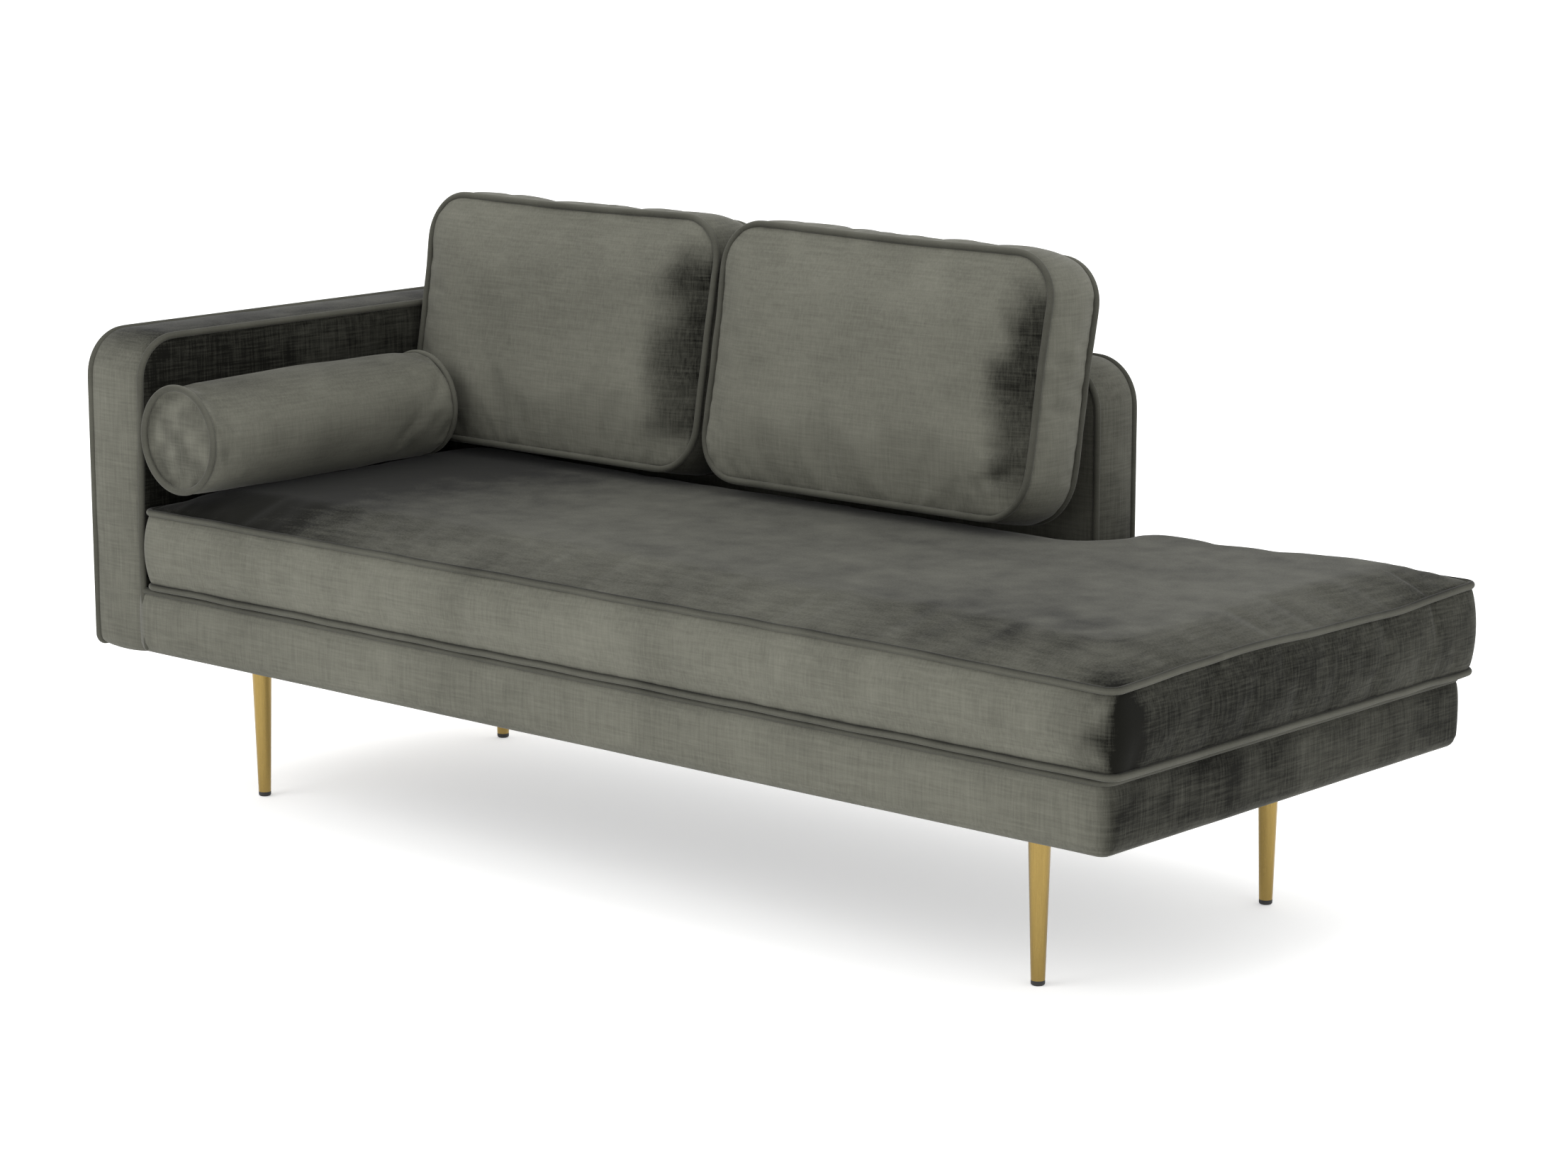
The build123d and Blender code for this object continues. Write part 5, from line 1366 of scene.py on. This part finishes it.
class DAYBED_OT_bolster(bpy.types.Operator):
    """Bolster: a stuffed round form lying front to rear, with gathered, sunken ends and welts"""

    bl_idname = "daybed.bolster"
    bl_label = "Bolster"

    def execute(self, context):
        sizes = context.scene.daybed_sizes
        low, high = corners("bolster_piping")
        radius = (high[0] - low[0]) / 2
        centre = (low + high) / 2
        disc = radius - SEAM_INSET
        flat_centre = centre[[0, 2]]
        panel = flat_panel(flat_centre - disc, flat_centre + disc, [disc] * 4, sizes.cushion_cell)
        rear_w, front_w = -high[1] + SEAM_INSET, -low[1] - SEAM_INSET
        form = boxed(panel, rear_w, front_w, sizes.cushion_cell, FACING_FRONT)
        sunk = 0.0115 * (1 - np.exp(-form.distance / 0.006)) - 0.007 * np.sin(
            np.clip(form.distance / disc, 0, 1) * np.pi / 2
        )
        seam = (form.distance, form.panel_places, form.length)
        form.front -= sunk + puckers(*seam, 81, 0.0016, 0.014)
        form.rear += sunk + puckers(*seam, 82, 0.0016, 0.014)
        lower, upper = form.band_depths()
        form.out += belly(form, 0.003)
        form.out -= puckers(lower, form.places, form.length, 83, 0.0042, 0.034)
        form.out -= puckers(upper, form.places, form.length, 84, 0.0042, 0.034)
        along = np.repeat(form.shares, len(form.loop)) * 4
        around = np.tile(form.normals, (len(form.shares), 1))
        sag = cloud(np.column_stack([along, around]), 1.6, 85)
        form.out += 0.0012 * sag.reshape(form.out.shape)
        piece, seams = form.build("bolster_shell")
        swell(piece, seams, sizes, slack=0.010, limit=sizes.swell_limit * 0.4)
        points = read_points(piece.data)
        points[:, 2] = np.maximum(points[:, 2], low[2] - 0.0002)
        write_points(piece.data, points)
        # Painted shading by facing.
        values = paint_facing_shade(piece, foot=1.0, arm=0.4, rear=0.6, front=0.68, top=0.44, under=1.0)
        # Painted shade on the side of the body turned from the light, broken up by a cloud; random
        # mottling on the end discs.
        turned = hump(np.arctan2(points[:, 2] - centre[2], points[:, 0] - centre[0]), -0.15, 0.45)
        body = ease(points[:, 1], low[1] + 0.01, low[1] + 0.04)
        ragged = 1 + 0.6 * cloud(points, 0.05, 86)
        end_disc = (1 - body) * np.clip(cloud(points, 0.035, 87), -1, 1)
        store_value(piece.data, "painted_shading_and_mottle", values - 0.10 * turned * body * ragged + 0.18 * end_disc)
        smooth_once(piece)
        finish_soft(context, piece, "bolster", ("bolster_cover", "bolster_fill"))

        angles = np.linspace(0, 2 * np.pi, 48, endpoint=False)
        ring = (radius - CUSHION_CORD_INSET) * np.column_stack([np.cos(angles), np.sin(angles)])
        ring = ring + (centre[0], centre[2])
        levels = (-low[1] - CUSHION_CORD_INSET, -high[1] + CUSHION_CORD_INSET)
        cords = [(in_plane(ring, level, FACING_FRONT), True, (0, 1, 0)) for level in levels]
        welt(
            context, "bolster_welt", "bolster", "bolster_piping", cords,
            foot=0.35, arm=0.6, rear=0.4, front=0.62, top=0.5, under=0.6,
        )
        return {"FINISHED"}


# ------------------------------------------------------------------ frame, legs and stage
class DAYBED_OT_finishes(bpy.types.Operator):
    """Timber, board, steel, brass and rubber finishes on the parts that keep their own shape"""

    bl_idname = "daybed.finishes"
    bl_label = "Frame and leg finishes"

    def execute(self, context):
        made = finish_materials(context)
        by_word = {
            "rail": "timber",
            "post": "timber",
            "upright": "timber",
            "block": "timber",
            "leg_boards": "timber",
            "board": "board",
            "spring": "zinc_steel",
            "bolt": "zinc_steel",
            "plate": "zinc_steel",
            "screw": "zinc_steel",
            "glide": "black_rubber",
            "leg_": "brass",
        }
        for name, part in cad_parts.items():
            slot = next((found for word, found in by_word.items() if word in name), None)
            if slot is None or part.hide_render:
                continue
            if not part.data.materials:
                part.data.materials.append(made[slot])
            for number in range(len(part.data.materials)):
                part.data.materials[number] = made[slot]
        return {"FINISHED"}


class DAYBED_OT_stage(bpy.types.Operator):
    """Plain pale floor, soft studio light and the camera"""

    bl_idname = "daybed.stage"
    bl_label = "Floor, lights and camera"

    def execute(self, context):
        scene = context.scene
        scene.view_settings.view_transform = "Standard"
        self.floor(context)
        self.world(scene)
        self.lamp("key", (-1.6, -3.4, 3.2), (2.6, 2.0), 48)
        self.lamp("top", (0.4, 0.2, 3.6), (3.2, 2.4), 26)
        self.lamp("foot", (3.6, -0.6, 1.6), (1.6, 1.6), 7)
        self.camera(scene)
        return {"FINISHED"}

    @staticmethod
    def floor(context):
        """Wide floor just under the glides."""
        half = 30.0
        level = CAD_BOX[0][2] - 0.0002
        corner_signs = np.array([(-1, -1), (1, -1), (1, 1), (-1, 1)])
        points = np.column_stack([half * corner_signs, np.full(4, level)])
        plane = new_piece("floor", points, [[0, 1, 2, 3]])
        material = bpy.data.materials.new("Floor")
        material.use_nodes = True
        surface = material.node_tree.nodes["Principled BSDF"]
        surface.inputs["Base Color"].default_value = opaque(context.scene.daybed_colours.floor)
        surface.inputs["Roughness"].default_value = 0.9
        surface.inputs["Specular IOR Level"].default_value = 0.1
        surface.inputs["Emission Color"].default_value = (1.0, 1.0, 1.0, 1.0)
        surface.inputs["Emission Strength"].default_value = 0.42
        plane.data.materials.append(material)

    @staticmethod
    def world(scene):
        """Even white surroundings."""
        world = bpy.data.worlds.new("Studio")
        world.use_nodes = True
        background = world.node_tree.nodes["Background"]
        background.inputs["Color"].default_value = (1.0, 1.0, 1.0, 1.0)
        background.inputs["Strength"].default_value = 1.10
        scene.world = world

    @staticmethod
    def lamp(name, place, size, power):
        """Rectangular soft lamp aimed at the middle of the object."""
        light = bpy.data.lights.new(name, "AREA")
        light.shape = "RECTANGLE"
        light.size, light.size_y = size
        light.energy = power
        lamp = bpy.data.objects.new(name, light)
        bpy.context.scene.collection.objects.link(lamp)
        target = (CAD_BOX[0] + CAD_BOX[1]) / 2
        lamp.location = place
        lamp.rotation_euler = (target - Vector(place)).to_track_quat("-Z", "Y").to_euler()

    @staticmethod
    def camera(scene):
        """Camera in front of the foot end, looking down a little."""
        azimuth, elevation, distance = math.radians(41.44), math.radians(11.38), 4.9
        back = Vector((
            math.sin(azimuth) * math.cos(elevation),
            -math.cos(azimuth) * math.cos(elevation),
            math.sin(elevation),
        ))
        target = Vector((0.060, 0.003, 0.3363))
        data = bpy.data.cameras.new("camera")
        data.lens = 93.7
        data.sensor_width = 36.0
        camera = bpy.data.objects.new("camera", data)
        scene.collection.objects.link(camera)
        camera.location = target + back * distance
        camera.rotation_euler = (-back).to_track_quat("-Z", "Y").to_euler()
        scene.camera = camera


class DAYBED_PT_panel(bpy.types.Panel):
    """Sidebar panel with the sizes, the colours and one button for each piece"""

    bl_idname = "DAYBED_PT_panel"
    bl_label = "Velvet daybed"
    bl_space_type = "VIEW_3D"
    bl_region_type = "UI"
    bl_category = "Daybed"

    def draw(self, context):
        layout = self.layout
        for settings in (context.scene.daybed_sizes, context.scene.daybed_colours):
            box = layout.box()
            for key in settings.__annotations__:
                box.prop(settings, key)
        for operator in OPERATORS:
            layout.operator(operator.bl_idname)


OPERATORS = (
    DAYBED_OT_arm,
    DAYBED_OT_back,
    DAYBED_OT_base,
    DAYBED_OT_linings,
    DAYBED_OT_seat_cushion,
    DAYBED_OT_back_cushions,
    DAYBED_OT_bolster,
    DAYBED_OT_finishes,
    DAYBED_OT_stage,
)
CLASSES = (DaybedSizes, DaybedColours, *OPERATORS, DAYBED_PT_panel)


def register():
    """Registers the classes and hangs the settings on the scene."""
    for one in CLASSES:
        bpy.utils.register_class(one)
    bpy.types.Scene.daybed_sizes = bpy.props.PointerProperty(type=DaybedSizes)
    bpy.types.Scene.daybed_colours = bpy.props.PointerProperty(type=DaybedColours)


def unregister():
    """Takes the settings off the scene and unregisters the classes."""
    del bpy.types.Scene.daybed_colours
    del bpy.types.Scene.daybed_sizes
    for one in reversed(CLASSES):
        bpy.utils.unregister_class(one)


def main():
    """Makes every piece in order."""
    register()
    for operator in OPERATORS:
        family, action = operator.bl_idname.split(".")
        getattr(getattr(bpy.ops, family), action)()


if __name__ == "__main__":
    main()
